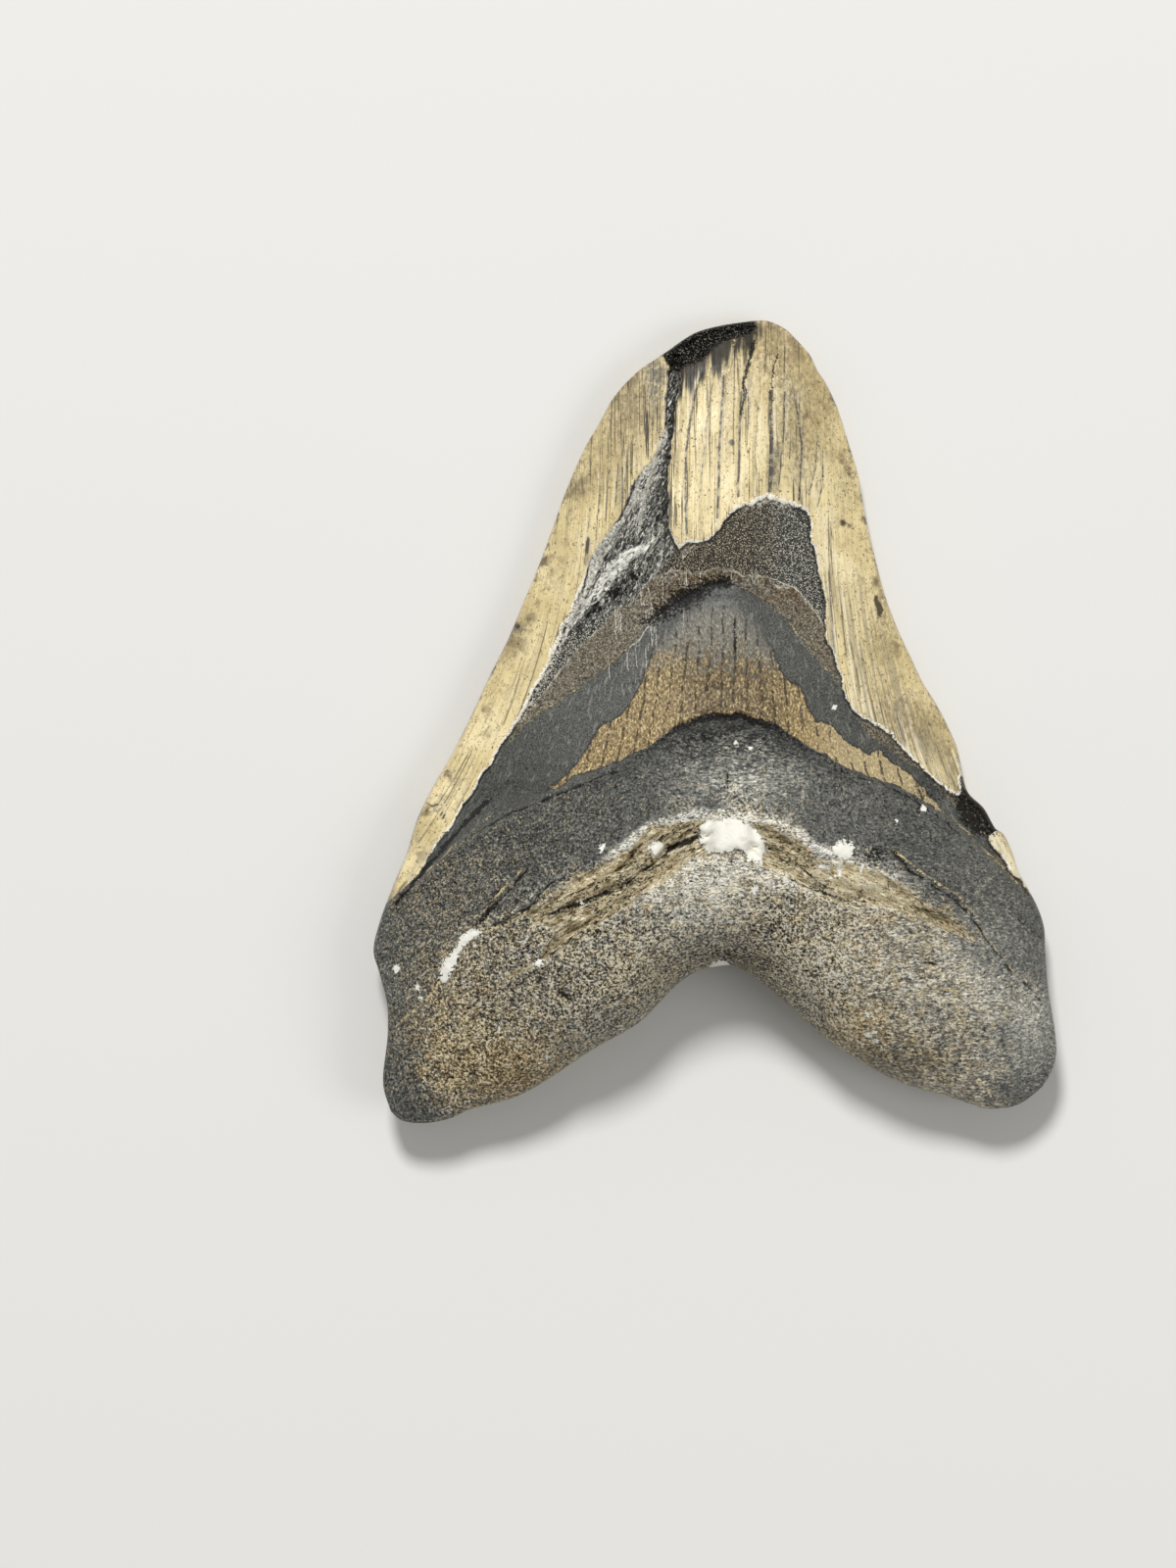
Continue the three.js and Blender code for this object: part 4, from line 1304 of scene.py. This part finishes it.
@dataclass(frozen=True)
class FossilFinish:
    """Enamel, bare dentine, root and mineral fillings, told apart by the mesh's fields."""

    name: str = "fossil_tooth"
    light_cream: Colour = tone(247, 230, 182)
    tan: Colour = tone(150, 132, 94)
    dirt: Colour = tone(96, 86, 66)
    veil: Colour = tone(168, 160, 138)
    bruise: Colour = tone(96, 96, 90)
    slate_grey: Colour = tone(118, 114, 100)
    bleach: Colour = tone(240, 233, 210)
    streak: Colour = tone(72, 66, 54)
    bark: Colour = tone(52, 43, 30)
    fracture: Colour = tone(240, 237, 225)
    # Near black: dark mineral, and painted shade in cracks, beside steps and ledges, and under the
    # root line.
    black_and_shade: Colour = tone(16, 15, 13)
    ash: Colour = tone(196, 190, 172)
    bone: Colour = tone(216, 211, 194)
    gilt: Colour = tone(236, 216, 168)
    chalk: Colour = tone(233, 231, 219)
    thread: Colour = tone(122, 110, 84)
    slate_shade: Colour = tone(52, 53, 50)
    slate_dash: Colour = tone(132, 132, 124)
    slate_brush: Colour = tone(146, 146, 138)
    straw: Colour = tone(214, 198, 158)
    bronze_dash: Colour = tone(40, 34, 23)
    fleck: Colour = tone(222, 214, 190)
    dusting: Colour = tone(210, 190, 146)
    chalk_cloud: Colour = tone(222, 217, 201)
    creams: Stops = stops((0.36, 212, 193, 142), (0.5, 230, 211, 158), (0.64, 247, 230, 182))
    tip_strokes: Stops = stops((0.38, 20, 18, 14), (0.52, 42, 37, 28), (0.7, 72, 63, 47))
    umbers: Stops = stops((0.4, 52, 44, 32), (0.5, 94, 86, 70), (0.6, 158, 149, 128))
    rusts: Stops = stops((0.4, 22, 15, 8), (0.5, 70, 55, 34), (0.6, 150, 130, 94))
    brown_grains: Stops = stops(
        (0.38, 20, 15, 8), (0.5, 48, 40, 27),
        (0.6, 90, 80, 60), (0.72, 196, 187, 162),
    )  # fmt: skip
    grey_grains: Stops = stops(
        (0.38, 26, 25, 21), (0.5, 60, 58, 51),
        (0.6, 108, 105, 94), (0.72, 226, 223, 210),
    )  # fmt: skip
    rubbles: Stops = stops(
        (0.38, 14, 13, 11), (0.46, 52, 51, 47), (0.53, 98, 97, 90),
        (0.6, 170, 167, 155), (0.66, 252, 249, 238),
    )  # fmt: skip
    flanks: Stops = stops((0.36, 110, 108, 99), (0.5, 176, 173, 161), (0.62, 240, 237, 224))
    splinters: Stops = stops(
        (0.32, 36, 35, 31), (0.42, 128, 125, 115),
        (0.48, 222, 219, 206), (0.54, 252, 250, 240),
    )  # fmt: skip
    slates: Stops = stops((0.36, 54, 55, 52), (0.5, 75, 76, 71), (0.66, 112, 112, 105))
    light_bronzes: Stops = stops(
        (0.36, 84, 67, 38), (0.47, 130, 109, 69),
        (0.56, 164, 142, 96), (0.66, 224, 204, 156),
    )  # fmt: skip
    deep_bronzes: Stops = stops(
        (0.36, 40, 30, 14), (0.47, 80, 63, 35),
        (0.56, 110, 91, 56), (0.66, 188, 166, 116),
    )  # fmt: skip
    pewters: Stops = stops(
        (0.34, 88, 85, 75), (0.47, 112, 109, 97),
        (0.57, 132, 128, 115), (0.7, 184, 180, 164),
    )  # fmt: skip
    root_slates: Stops = stops(
        (0.2, 14, 14, 13), (0.35, 52, 53, 50), (0.5, 108, 109, 103),
        (0.65, 176, 173, 161), (0.8, 250, 247, 235),
    )  # fmt: skip
    root_ochres: Stops = stops(
        (0.2, 14, 11, 6), (0.35, 64, 50, 27), (0.5, 138, 116, 74),
        (0.65, 210, 185, 132), (0.8, 255, 246, 216),
    )  # fmt: skip
    chars: Stops = stops((0.46, 7, 6, 5), (0.56, 28, 26, 22), (0.68, 150, 146, 132))

    def material(self) -> bpy.types.Material:
        """Lays the layers from the bare face up to the mineral fillings, and wires the shader.

        Returns:
            The material.
        """
        made = bpy.data.materials.new(self.name)
        n = Nodes(made)
        t = Texture.wire(n)
        flake = t.border(n, "flake", 0.8)
        root_mask = n.step(t.border(n, "root", 0.9), -0.12, 0.18)

        bare = n.step(flake, -0.06, 0.08)
        layer = self.enamel(n, t).under(n, bare, self.dentine(n, t))
        layer = self.broken_edge(n, t, layer, flake)
        layer = layer.under(n, root_mask, self.root(n, t))
        tip = n.step(t.border(n, "tip", 1.2), -0.1, 0.15)
        layer = layer.under(n, tip, self.char(n, t))
        # Black: dark mineral, plus painted shadow under the root line and painted shade in the
        # crease and by the notch.
        black = n.plus(n.field("black"), n.centred(t.grain), -3.6)
        black = n.step(black, 0.2, 0.75, 0.0, 0.93)
        layer = layer.stained(n, black, self.black_and_shade)
        layer = self.lines(n, t, layer)
        crumbly = n.linear(t.grain, 3.0, -1.5)
        white = n.step(n.plus(n.field("white"), crumbly, 1.0), -0.28, -0.16)
        speck = n.step(n.plus(n.field("speck"), crumbly, 0.6), 0.38, 0.5)
        white = n.math("MAXIMUM", white, speck)
        layer = layer.under(n, white, self.filling(n, t))

        shader = n.add("ShaderNodeBsdfPrincipled")
        n.feed(shader.inputs["Base Color"], layer.colour)
        n.feed(shader.inputs["Roughness"], self.gloss(n, t, bare, root_mask, white))
        dull = n.math("MAXIMUM", tip, black)
        n.feed(shader.inputs["Specular IOR Level"], n.linear(dull, -0.35, 0.45))
        bump = n.add("ShaderNodeBump")
        bump.inputs["Strength"].default_value = 1.0
        bump.inputs["Distance"].default_value = MM
        n.feed(bump.inputs["Height"], layer.height)
        n.feed(shader.inputs["Normal"], bump.outputs[0])
        out = n.add("ShaderNodeOutputMaterial")
        n.feed(out.inputs["Surface"], shader.outputs[0])
        return made

    def enamel(self, n: Nodes, t: Texture) -> Layer:
        """Enamel: clouded cream, silky growth, dirt at the cutting edge, hairs, seams and spots.

        Args:
            n: The tree.
            t: Shared noises.

        Returns:
            The layer.
        """
        base = n.ramp(t.cloud, self.creams)
        silk = n.drawn(t.growth, (2.4, 0.11), 3.0, 0.64, 0.0)
        base = n.mix(n.step(silk, 0.54, 0.7, 0.0, 0.4), base, self.light_cream)
        base = n.mix(n.step(silk, 0.46, 0.34, 0.0, 0.25), base, self.tan)
        dust = n.noise(n.stretch(t.place, (1.9, 1.0, 1.0)), 1.0, 4.0, 0.72)
        base = n.mix(n.step(dust, 0.54, 0.7, 0.0, 0.75), base, self.tan)
        pepper = n.noise(n.stretch(t.place, (2.3, 1.3, 1.0)), 1.0, 3.0, 0.7)
        base = n.mix(n.step(pepper, 0.61, 0.67, 0.0, 0.85), base, self.bark)

        rim = n.field("rim")
        soil = n.noise(t.place, 0.3, 5.0, 0.64)
        tanned = n.times(n.step(soil, 0.48, 0.62), n.step(rim, 6.0, 0.3, 0.06, 0.9))
        base = n.mix(tanned, base, self.tan)
        soiled = n.times(n.step(soil, 0.57, 0.68), n.step(rim, 4.0, 0.3, 0.03, 0.85))
        base = n.mix(soiled, base, self.dirt)
        stained = n.times(n.field("tan"), n.step(dust, 0.38, 0.64, 0.5, 1.3))
        base = n.mix(n.math("MINIMUM", stained, 0.95), base, self.tan)

        inner = n.step(n.field("flake"), -7.0, -0.2)
        patch = n.times(n.step(t.y, 27.0, 34.0), n.step(t.x, 19.0, 12.0, 0.0, 0.45))
        near = n.math("MAXIMUM", inner, patch)
        veil = n.drawn(t.growth, (0.9, 0.06), 3.0, 0.64, 0.0)
        strip = n.step(t.x, 13.0, 18.0)
        pale = n.times(n.step(veil, 0.48, 0.58), strip)
        pale = n.times(pale, n.step(inner, 0.1, 1.0, 0.0, 0.45))
        base = n.mix(pale, base, self.bleach)
        veiled = n.times(n.step(veil, 0.46, 0.34), n.step(near, 0.0, 1.0, 0.05, 0.35))
        base = n.mix(veiled, base, self.veil)
        comb = n.drawn(t.growth, (2.2, 0.05), 2.0, 0.66, 0.0)
        lined = n.times(n.step(t.y, 30.0, 16.0), n.step(rim, 1.0, 4.5))
        combed = n.times(n.step(comb, 0.52, 0.42), n.times(strip, lined))
        base = n.mix(n.linear(combed, 0.5), base, self.slate_grey)
        bruised = n.times(n.field("bruise"), n.step(dust, 0.4, 0.6, 0.3, 1.2))
        base = n.mix(n.math("MINIMUM", bruised, 0.95), base, self.bruise)
        hair = n.drawn(t.growth, (1.0, 0.022), 2.0, 0.6, 0.15)
        gate = n.step(n.drawn(t.growth, (0.7, 0.07), 2.0, 0.6, 0.0), 0.48, 0.56)
        gate = n.times(gate, n.step(near, 0.0, 0.7, 0.06, 0.9))
        thread = n.times(n.ridge(hair, 0.045), gate)
        base = n.mix(thread, base, n.mix(n.step(t.y, 20.0, 30.0), self.thread, self.bark))
        _, plain, half = n.split(n.vector("seam"))
        away = n.plus(n.math("SUBTRACT", plain, half), t.ragged, 0.4)
        broken = n.step(t.blotch, 0.36, 0.54, 0.3, 0.95)
        base = n.mix(n.step(away, 0.3, -0.1, 0.0, 0.4), base, self.veil)
        base = n.mix(n.times(n.step(away, 0.05, -0.08), broken), base, self.streak)

        wave = n.math("SINE", n.plus(n.linear(n.field("arc"), 7.1), t.cloud, 30.0))
        notch = n.times(n.step(wave, 0.2, 0.9), n.step(rim, 0.6, 0.1))
        base = n.mix(n.times(notch, n.step(soil, 0.46, 0.58, 0.0, 0.8)), base, self.dirt)
        strokes = n.ramp(veil, self.tip_strokes)
        shadow = n.plus(t.border(n, "stain", 1.0), n.centred(veil), -9.0)
        base = n.mix(n.step(shadow, -2.0, 0.4, 0.0, 0.96), base, strokes)
        base = n.mix(n.step(n.field("spot"), 0.2, 0.55, 0.0, 0.92), base, self.bark)
        height = n.linear(silk, 0.12)
        return Layer(base, n.plus(height, thread, -0.06))

    def dentine(self, n: Nodes, t: Texture) -> Layer:
        """Flaked face: umber, granular dentine, crumbled channel and splinter, slate, bronze band.

        Args:
            n: The tree.
            t: Shared noises.

        Returns:
            The layer.
        """
        dusty = n.blend(0.5, t.sand, t.grain)
        umber = n.ramp(dusty, self.umbers)
        rust = n.ramp(dusty, self.rusts)
        crown = n.times(n.step(t.y, 15.0, 21.0), n.step(t.blotch, 0.4, 0.58))
        layer = Layer(n.mix(crown, umber, rust), n.linear(dusty, 0.2))

        brown = n.ramp(t.grit, self.brown_grains)
        greyer = n.ramp(t.grit, self.grey_grains)
        side = n.math("ADD", n.step(t.x, 6.0, 13.0), n.step(t.x, -9.0, -15.0), clamp=True)
        granular = t.border(n, "granular", 1.4)
        grains = Layer(n.mix(side, brown, greyer), n.linear(t.grit, 0.3))
        layer = layer.under(n, n.step(granular, -0.2, 0.2), grains)
        rind = n.times(n.step(granular, -0.2, -0.05), n.step(granular, 0.25, 0.05))
        layer = layer.stained(n, n.times(rind, n.step(t.blotch, 0.45, 0.6, 0.1, 0.8)), self.ash)

        chips = n.plus(n.linear(t.crumb, 1.35, -0.165), n.field("chips"), 1.0)
        rubble = n.ramp(chips, self.rubbles)
        channel = n.step(t.border(n, "channel", 1.6), -0.3, 0.3)
        layer = layer.under(n, channel, Layer(rubble, n.linear(t.crumb, 0.5)))
        flank = n.ramp(t.grain, self.flanks)
        bevel = n.step(t.border(n, "bevel", 0.8), -0.2, 0.2, 0.0, 0.95)
        layer = layer.under(n, bevel, Layer(flank, n.linear(t.grain, 0.35)))
        fibres = n.ramp(t.fibre, self.splinters)
        splinter = n.step(t.border(n, "splinter", 0.9), -0.15, 0.15)
        layer = layer.under(n, splinter, Layer(fibres, n.linear(t.fibre, 0.35)))

        slate = n.ramp(t.sand, self.slates)
        dash = n.drawn(t.growth, (2.2, 0.5), 2.0, 0.6, 0.0)
        slate = n.mix(n.step(t.cloud, 0.4, 0.6, 0.0, 0.25), slate, self.slate_shade)
        slate = n.mix(n.step(dash, 0.58, 0.72, 0.0, 0.6), slate, self.slate_dash)
        left = n.times(n.step(t.y, 1.0, 7.0), n.step(t.x, -6.0, -9.0))
        brushed = n.times(n.step(dash, 0.52, 0.64), left)
        slate = n.mix(n.linear(brushed, 0.35), slate, self.slate_brush)
        grey = n.step(t.border(n, "grey", 1.0), -0.15, 0.2)
        layer = layer.under(n, grey, Layer(slate, n.linear(t.sand, 0.08)))
        signed, plain, half = n.split(n.vector("drip"))
        away = n.math("SUBTRACT", n.math("ABSOLUTE", n.plus(signed, t.ragged, 0.5)), half)
        close = n.step(plain, 0.8, 0.5)
        drip = n.times(n.step(away, 0.06, -0.05), close)
        drip = n.times(drip, n.step(t.grain, 0.4, 0.54, 0.15, 0.8))
        dim = n.times(n.field("dim"), n.step(t.grain, 0.4, 0.62, 1.2, 0.4))
        layer = layer.stained(n, dim, self.black_and_shade).stained(n, drip, self.bone)
        band = t.border(n, "bourlette", 1.2)
        dome = n.step(t.y, 8.0, 15.0)
        faded = n.step(n.plus(band, t.blotch, 2.0), 0.4, 4.0)
        border = n.blend(dome, n.step(band, -0.12, 0.16), faded)
        layer = layer.under(n, border, self.bronze(n, t))
        # A painted step shadow along the band's lower border, below the dome.
        line = n.times(n.step(band, -0.32, -0.1), n.step(band, 0.12, -0.05, 0.0, 0.7))
        return layer.stained(n, n.times(line, n.linear(dome, -1.0, 1.0)), self.black_and_shade)

    def bronze(self, n: Nodes, t: Texture) -> Layer:
        """Band over the root: grey at the top of its dome, tan below, with columns of dark dashes.

        Args:
            n: The tree.
            t: Shared noises.

        Returns:
            The layer.
        """
        weave = n.noise(n.stretch(t.place, (3.4, 1.9, 1.9)), 1.0, 3.0, 0.68)
        light = n.ramp(weave, self.light_bronzes)
        deep = n.ramp(weave, self.deep_bronzes)
        pewter = n.ramp(weave, self.pewters)
        middle = n.times(n.step(t.x, -9.0, -1.0), n.step(t.x, 14.0, 7.0))
        bronze = n.mix(n.times(middle, n.step(t.blotch, 0.34, 0.6, 0.4, 1.0)), light, deep)
        lift = n.plus(t.y, n.centred(t.blotch), 14.0)
        bronze = n.mix(n.step(lift, 6.0, 14.0), bronze, pewter)
        bronze = n.mix(n.step(t.x, 12.0, 22.0, 0.0, 0.7), bronze, n.mix(0.5, light, self.straw))
        fan, _, _ = n.split(t.growth)
        wave = n.math("SINE", n.plus(n.linear(fan, 3.7), n.noise(t.place, 0.2, 2.0), 4.0))
        gate = n.step(n.noise(n.stretch(t.place, (1.0, 0.7, 0.5)), 1.0, 3.0, 0.7), 0.46, 0.54)
        dashes = n.times(n.step(wave, 0.78, 0.97), gate)
        bronze = n.mix(n.linear(dashes, 0.85), bronze, self.bronze_dash)
        return Layer(bronze, n.plus(n.linear(weave, 0.14), dashes, -0.1))

    def root(self, n: Nodes, t: Texture) -> Layer:
        """Root: one value of grain, crinkle or fibre, read as slate or ochre, with a pale crust.

        The value is a middle tone plus noise times ruggedness; grains that stand up are pale.

        Args:
            n: The tree.
            t: Shared noises.

        Returns:
            The layer.
        """
        gold = n.plus(n.field("gold"), n.centred(t.blotch), 3.0)
        gold = n.step(gold, -0.5, 0.7)
        noise = n.blend(n.field("drawn"), t.grain, t.crinkle)
        noise = n.centred(n.blend(gold, noise, t.fibre))
        noise = n.plus(noise, n.centred(t.blotch), 0.2)
        rise = n.times(noise, n.blend(gold, n.field("rugged"), 4.4))
        value = n.math("ADD", n.field("lift"), rise)
        # Pale: crust and leathery zones, and the painted sheen over the collar's middle.
        crust = n.times(n.field("pale"), n.step(t.blotch, 0.34, 0.56, 0.5, 1.15))
        leather = n.noise(n.stretch(t.place, (0.75, 1.5, 1.0)), 1.0, 2.0, 0.6, 1.2)
        creases = n.ridge(leather, 0.045)
        wrinkle = n.plus(n.linear(t.crinkle, 1.5, 0.05), creases, -0.32)
        value = n.blend(n.math("MINIMUM", crust, 1.0), value, wrinkle)
        slate = n.ramp(value, self.root_slates)
        ochre = n.ramp(value, self.root_ochres)
        tint = n.linear(n.noise(t.place, 0.55, 5.0, 0.7), 3.0, -1.5)
        tint = n.plus(n.plus(n.field("gilt"), tint, 0.7), noise, 2.2)
        tint = n.math("MAXIMUM", n.step(tint, -0.1, 1.1), gold)
        colour = n.mix(tint, slate, ochre)
        # Bright strands along the crease's fibres: partly their pale colour, partly painted
        # highlights on their ridges.
        strand = n.drawn(n.vector("arm"), (0.3, 1.0), 3.0, 0.66, 1.0)
        strand = n.times(n.ridge(strand, 0.07), gold)
        strand = n.times(strand, n.step(t.grain, 0.42, 0.56, 0.1, 0.9))
        colour = n.mix(strand, colour, self.gilt)
        fleck = n.noise(t.place, 2.2, 2.0, 0.6)
        colour = n.mix(n.step(fleck, 0.7, 0.75, 0.0, 0.9), colour, self.fleck)
        dusting = n.plus(n.noise(t.place, 2.7, 2.0, 0.66), n.field("dust"), 0.1)
        colour = n.mix(n.step(dusting, 0.67, 0.74, 0.0, 0.8), colour, self.dusting)
        rind = n.plus(n.linear(t.crinkle, 0.3), creases, -0.12)
        height = n.times(rise, n.linear(gold, -0.32, 0.5))
        height = n.blend(n.math("MINIMUM", crust, 1.0), height, rind)
        return Layer(colour, n.plus(height, strand, 0.12))

    def char(self, n: Nodes, t: Texture) -> Layer:
        """Broken tip: black, with pale crumbs."""
        colour = n.ramp(t.sand, self.chars)
        return Layer(colour, n.linear(t.grain, 0.6))

    def filling(self, n: Nodes, t: Texture) -> Layer:
        """White mineral: chalk with faint cream clouds."""
        colour = n.mix(n.step(t.blotch, 0.3, 0.44), self.chalk_cloud, self.chalk)
        return Layer(colour, n.linear(t.blotch, 0.35))

    def broken_edge(self, n: Nodes, t: Texture, layer: Layer, flake: Socket) -> Layer:
        """White broken edge of the enamel, as wide as the lip, with the gap's shade beside it.

        Args:
            n: The tree.
            t: Shared noises.
            layer: Layer under it.
            flake: Signed distance inside the flaked face.

        Returns:
            The layer with the edge.
        """
        lip = n.field("lip")
        reach = n.plus(flake, lip, 0.75)
        edge = n.times(n.step(reach, -0.06, 0.08), n.step(flake, 0.16, 0.04))
        edge = n.times(n.times(edge, n.step(t.grain, 0.42, 0.54)), n.step(lip, 0.05, 0.3))
        layer = layer.stained(n, edge, self.fracture)
        inner = n.times(n.step(flake, 0.0, 0.15), n.step(flake, 1.1, 0.4))
        crumbs = n.times(n.times(inner, n.step(lip, 0.45, 0.8)), n.step(t.grain, 0.46, 0.56))
        layer = layer.stained(n, crumbs, self.bone)
        shade = n.times(n.step(flake, 0.06, 0.2), n.step(flake, 0.75, 0.25))
        shade = n.times(shade, n.linear(crumbs, -1.0, 1.0))
        bare = n.step(n.field("bevel"), 0.1, -0.3, 0.0, 0.75)
        return layer.stained(n, n.times(shade, bare), self.black_and_shade)

    def lines(self, n: Nodes, t: Texture, layer: Layer) -> Layer:
        """Draws the pale veins and the black cracks.

        Args:
            n: The tree.
            t: Shared noises.
            layer: Layer under them.

        Returns:
            The layer with the lines.
        """
        masks = []
        for name, reach in (("vein", 0.1), ("crack", 0.08)):
            signed, plain, half = n.split(n.vector(name))
            wander = n.linear(t.grain, 1.2, -0.6)
            away = n.math("SUBTRACT", n.math("ABSOLUTE", n.plus(signed, wander, 1.0)), half)
            away = n.math("ADD", away, n.step(t.blotch, 0.36, 0.62, -0.06, 0.14))
            close = n.step(n.math("SUBTRACT", plain, half), 0.8, 0.5)
            masks.append(n.times(n.step(away, reach, -reach), close))
        vein = n.times(masks[0], n.step(t.grain, 0.42, 0.54, 0.1, 0.95))
        layer = layer.stained(n, vein, self.gilt)
        # The cracks are painted near black: painted shade in the cracks.
        layer = layer.stained(n, n.linear(masks[1], 0.95), self.black_and_shade)
        height = n.plus(n.plus(layer.height, masks[1], -0.4), vein, 0.2)
        return Layer(layer.colour, height)

    def gloss(self, n: Nodes, t: Texture, bare: Socket, root_mask: Socket, white: Socket) -> Socket:
        """Roughness: satin enamel, duller dentine, dull root and fillings.

        Args:
            n: The tree.
            t: Shared noises.
            bare: 1 on the flaked face.
            root_mask: 1 on the root.
            white: 1 on the fillings.

        Returns:
            The roughness.
        """
        value = n.linear(bare, 0.06, 0.38)
        value = n.math("MAXIMUM", value, n.linear(root_mask, 0.46))
        value = n.math("ADD", value, n.step(t.blotch, 0.35, 0.65, -0.06, 0.08))
        return n.math("MAXIMUM", value, n.linear(white, 0.62))


# Studio


@dataclass(frozen=True)
class Lamp:
    """A soft box: its place, size and power, aimed at the tooth."""

    name: str
    place: tuple[float, float, float]
    size: float
    power: float

    def build(self, aim: tuple[float, float, float]) -> None:
        """Adds the lamp, turned to the point it lights."""
        data = bpy.data.lights.new(self.name, "AREA")
        data.shape = "DISK"
        data.size = self.size
        data.energy = self.power
        lamp = bpy.data.objects.new(self.name, data)
        lamp.location = self.place
        way = Vector(aim) - lamp.location
        lamp.rotation_euler = way.to_track_quat("-Z", "Y").to_euler()
        bpy.context.scene.collection.objects.link(lamp)


@dataclass(frozen=True)
class Studio:
    """Pale floor, soft light and the camera over the tooth."""

    sight: Sight
    floor_half: float = 3.0
    floor_colour: Colour = tone(226, 225, 221)
    sky: float = 0.3
    lamps: tuple[Lamp, ...] = (
        Lamp("key", (-0.3, 1.35, 1.8), 0.5, 42.0),
        Lamp("fill", (1.6, -0.5, 1.5), 1.2, 10.5),
    )

    def floor(self) -> None:
        """Adds a wide flat floor under the tooth."""
        h = self.floor_half
        mesh = bpy.data.meshes.new("floor")
        mesh.from_pydata([(-h, -h, 0), (h, -h, 0), (h, h, 0), (-h, h, 0)], [], [(0, 1, 2, 3)])
        paint = bpy.data.materials.new("floor_paint")
        paint.use_nodes = True
        shader = paint.node_tree.nodes["Principled BSDF"]
        shader.inputs["Base Color"].default_value = self.floor_colour
        shader.inputs["Roughness"].default_value = 0.85
        mesh.materials.append(paint)
        floor = bpy.data.objects.new("floor", mesh)
        floor.location.z = -0.02 * MM
        bpy.context.scene.collection.objects.link(floor)

    def light(self) -> None:
        """Adds an even pale sky and the soft boxes."""
        world = bpy.data.worlds.new("studio")
        world.use_nodes = True
        sky = world.node_tree.nodes["Background"]
        sky.inputs["Color"].default_value = (1.0, 1.0, 1.0, 1.0)
        sky.inputs["Strength"].default_value = self.sky
        scene = bpy.context.scene
        scene.world = world
        scene.view_settings.view_transform = "Standard"
        for lamp in self.lamps:
            lamp.build((0.0, 0.0, 0.01))

    def camera(self) -> None:
        """Adds the camera straight over the middle of the picture."""
        data = bpy.data.cameras.new("camera")
        data.sensor_width = self.sight.sensor
        data.lens = self.sight.lens
        data.clip_start = 0.01
        data.clip_end = 20.0
        camera = bpy.data.objects.new("camera", data)
        across, along = self.sight.axis
        camera.location = (across * MM, along * MM, self.sight.height * MM)
        bpy.context.scene.collection.objects.link(camera)
        bpy.context.scene.camera = camera


def main() -> None:
    """Builds the tooth and the studio."""
    logging.basicConfig(level=logging.INFO, format="%(name)s: %(message)s")
    sight = Sight()
    tooth = ToothPiece(ToothPlan(), ToothRelief(), Markings(), sight)
    piece = tooth.build()
    tooth.place(piece, FossilFinish())
    mesh = piece.data
    LOG.info("%s: %d vertices, %d faces", piece.name, len(mesh.vertices), len(mesh.polygons))
    studio = Studio(sight)
    studio.floor()
    studio.light()
    studio.camera()


if __name__ == "__main__":
    main()
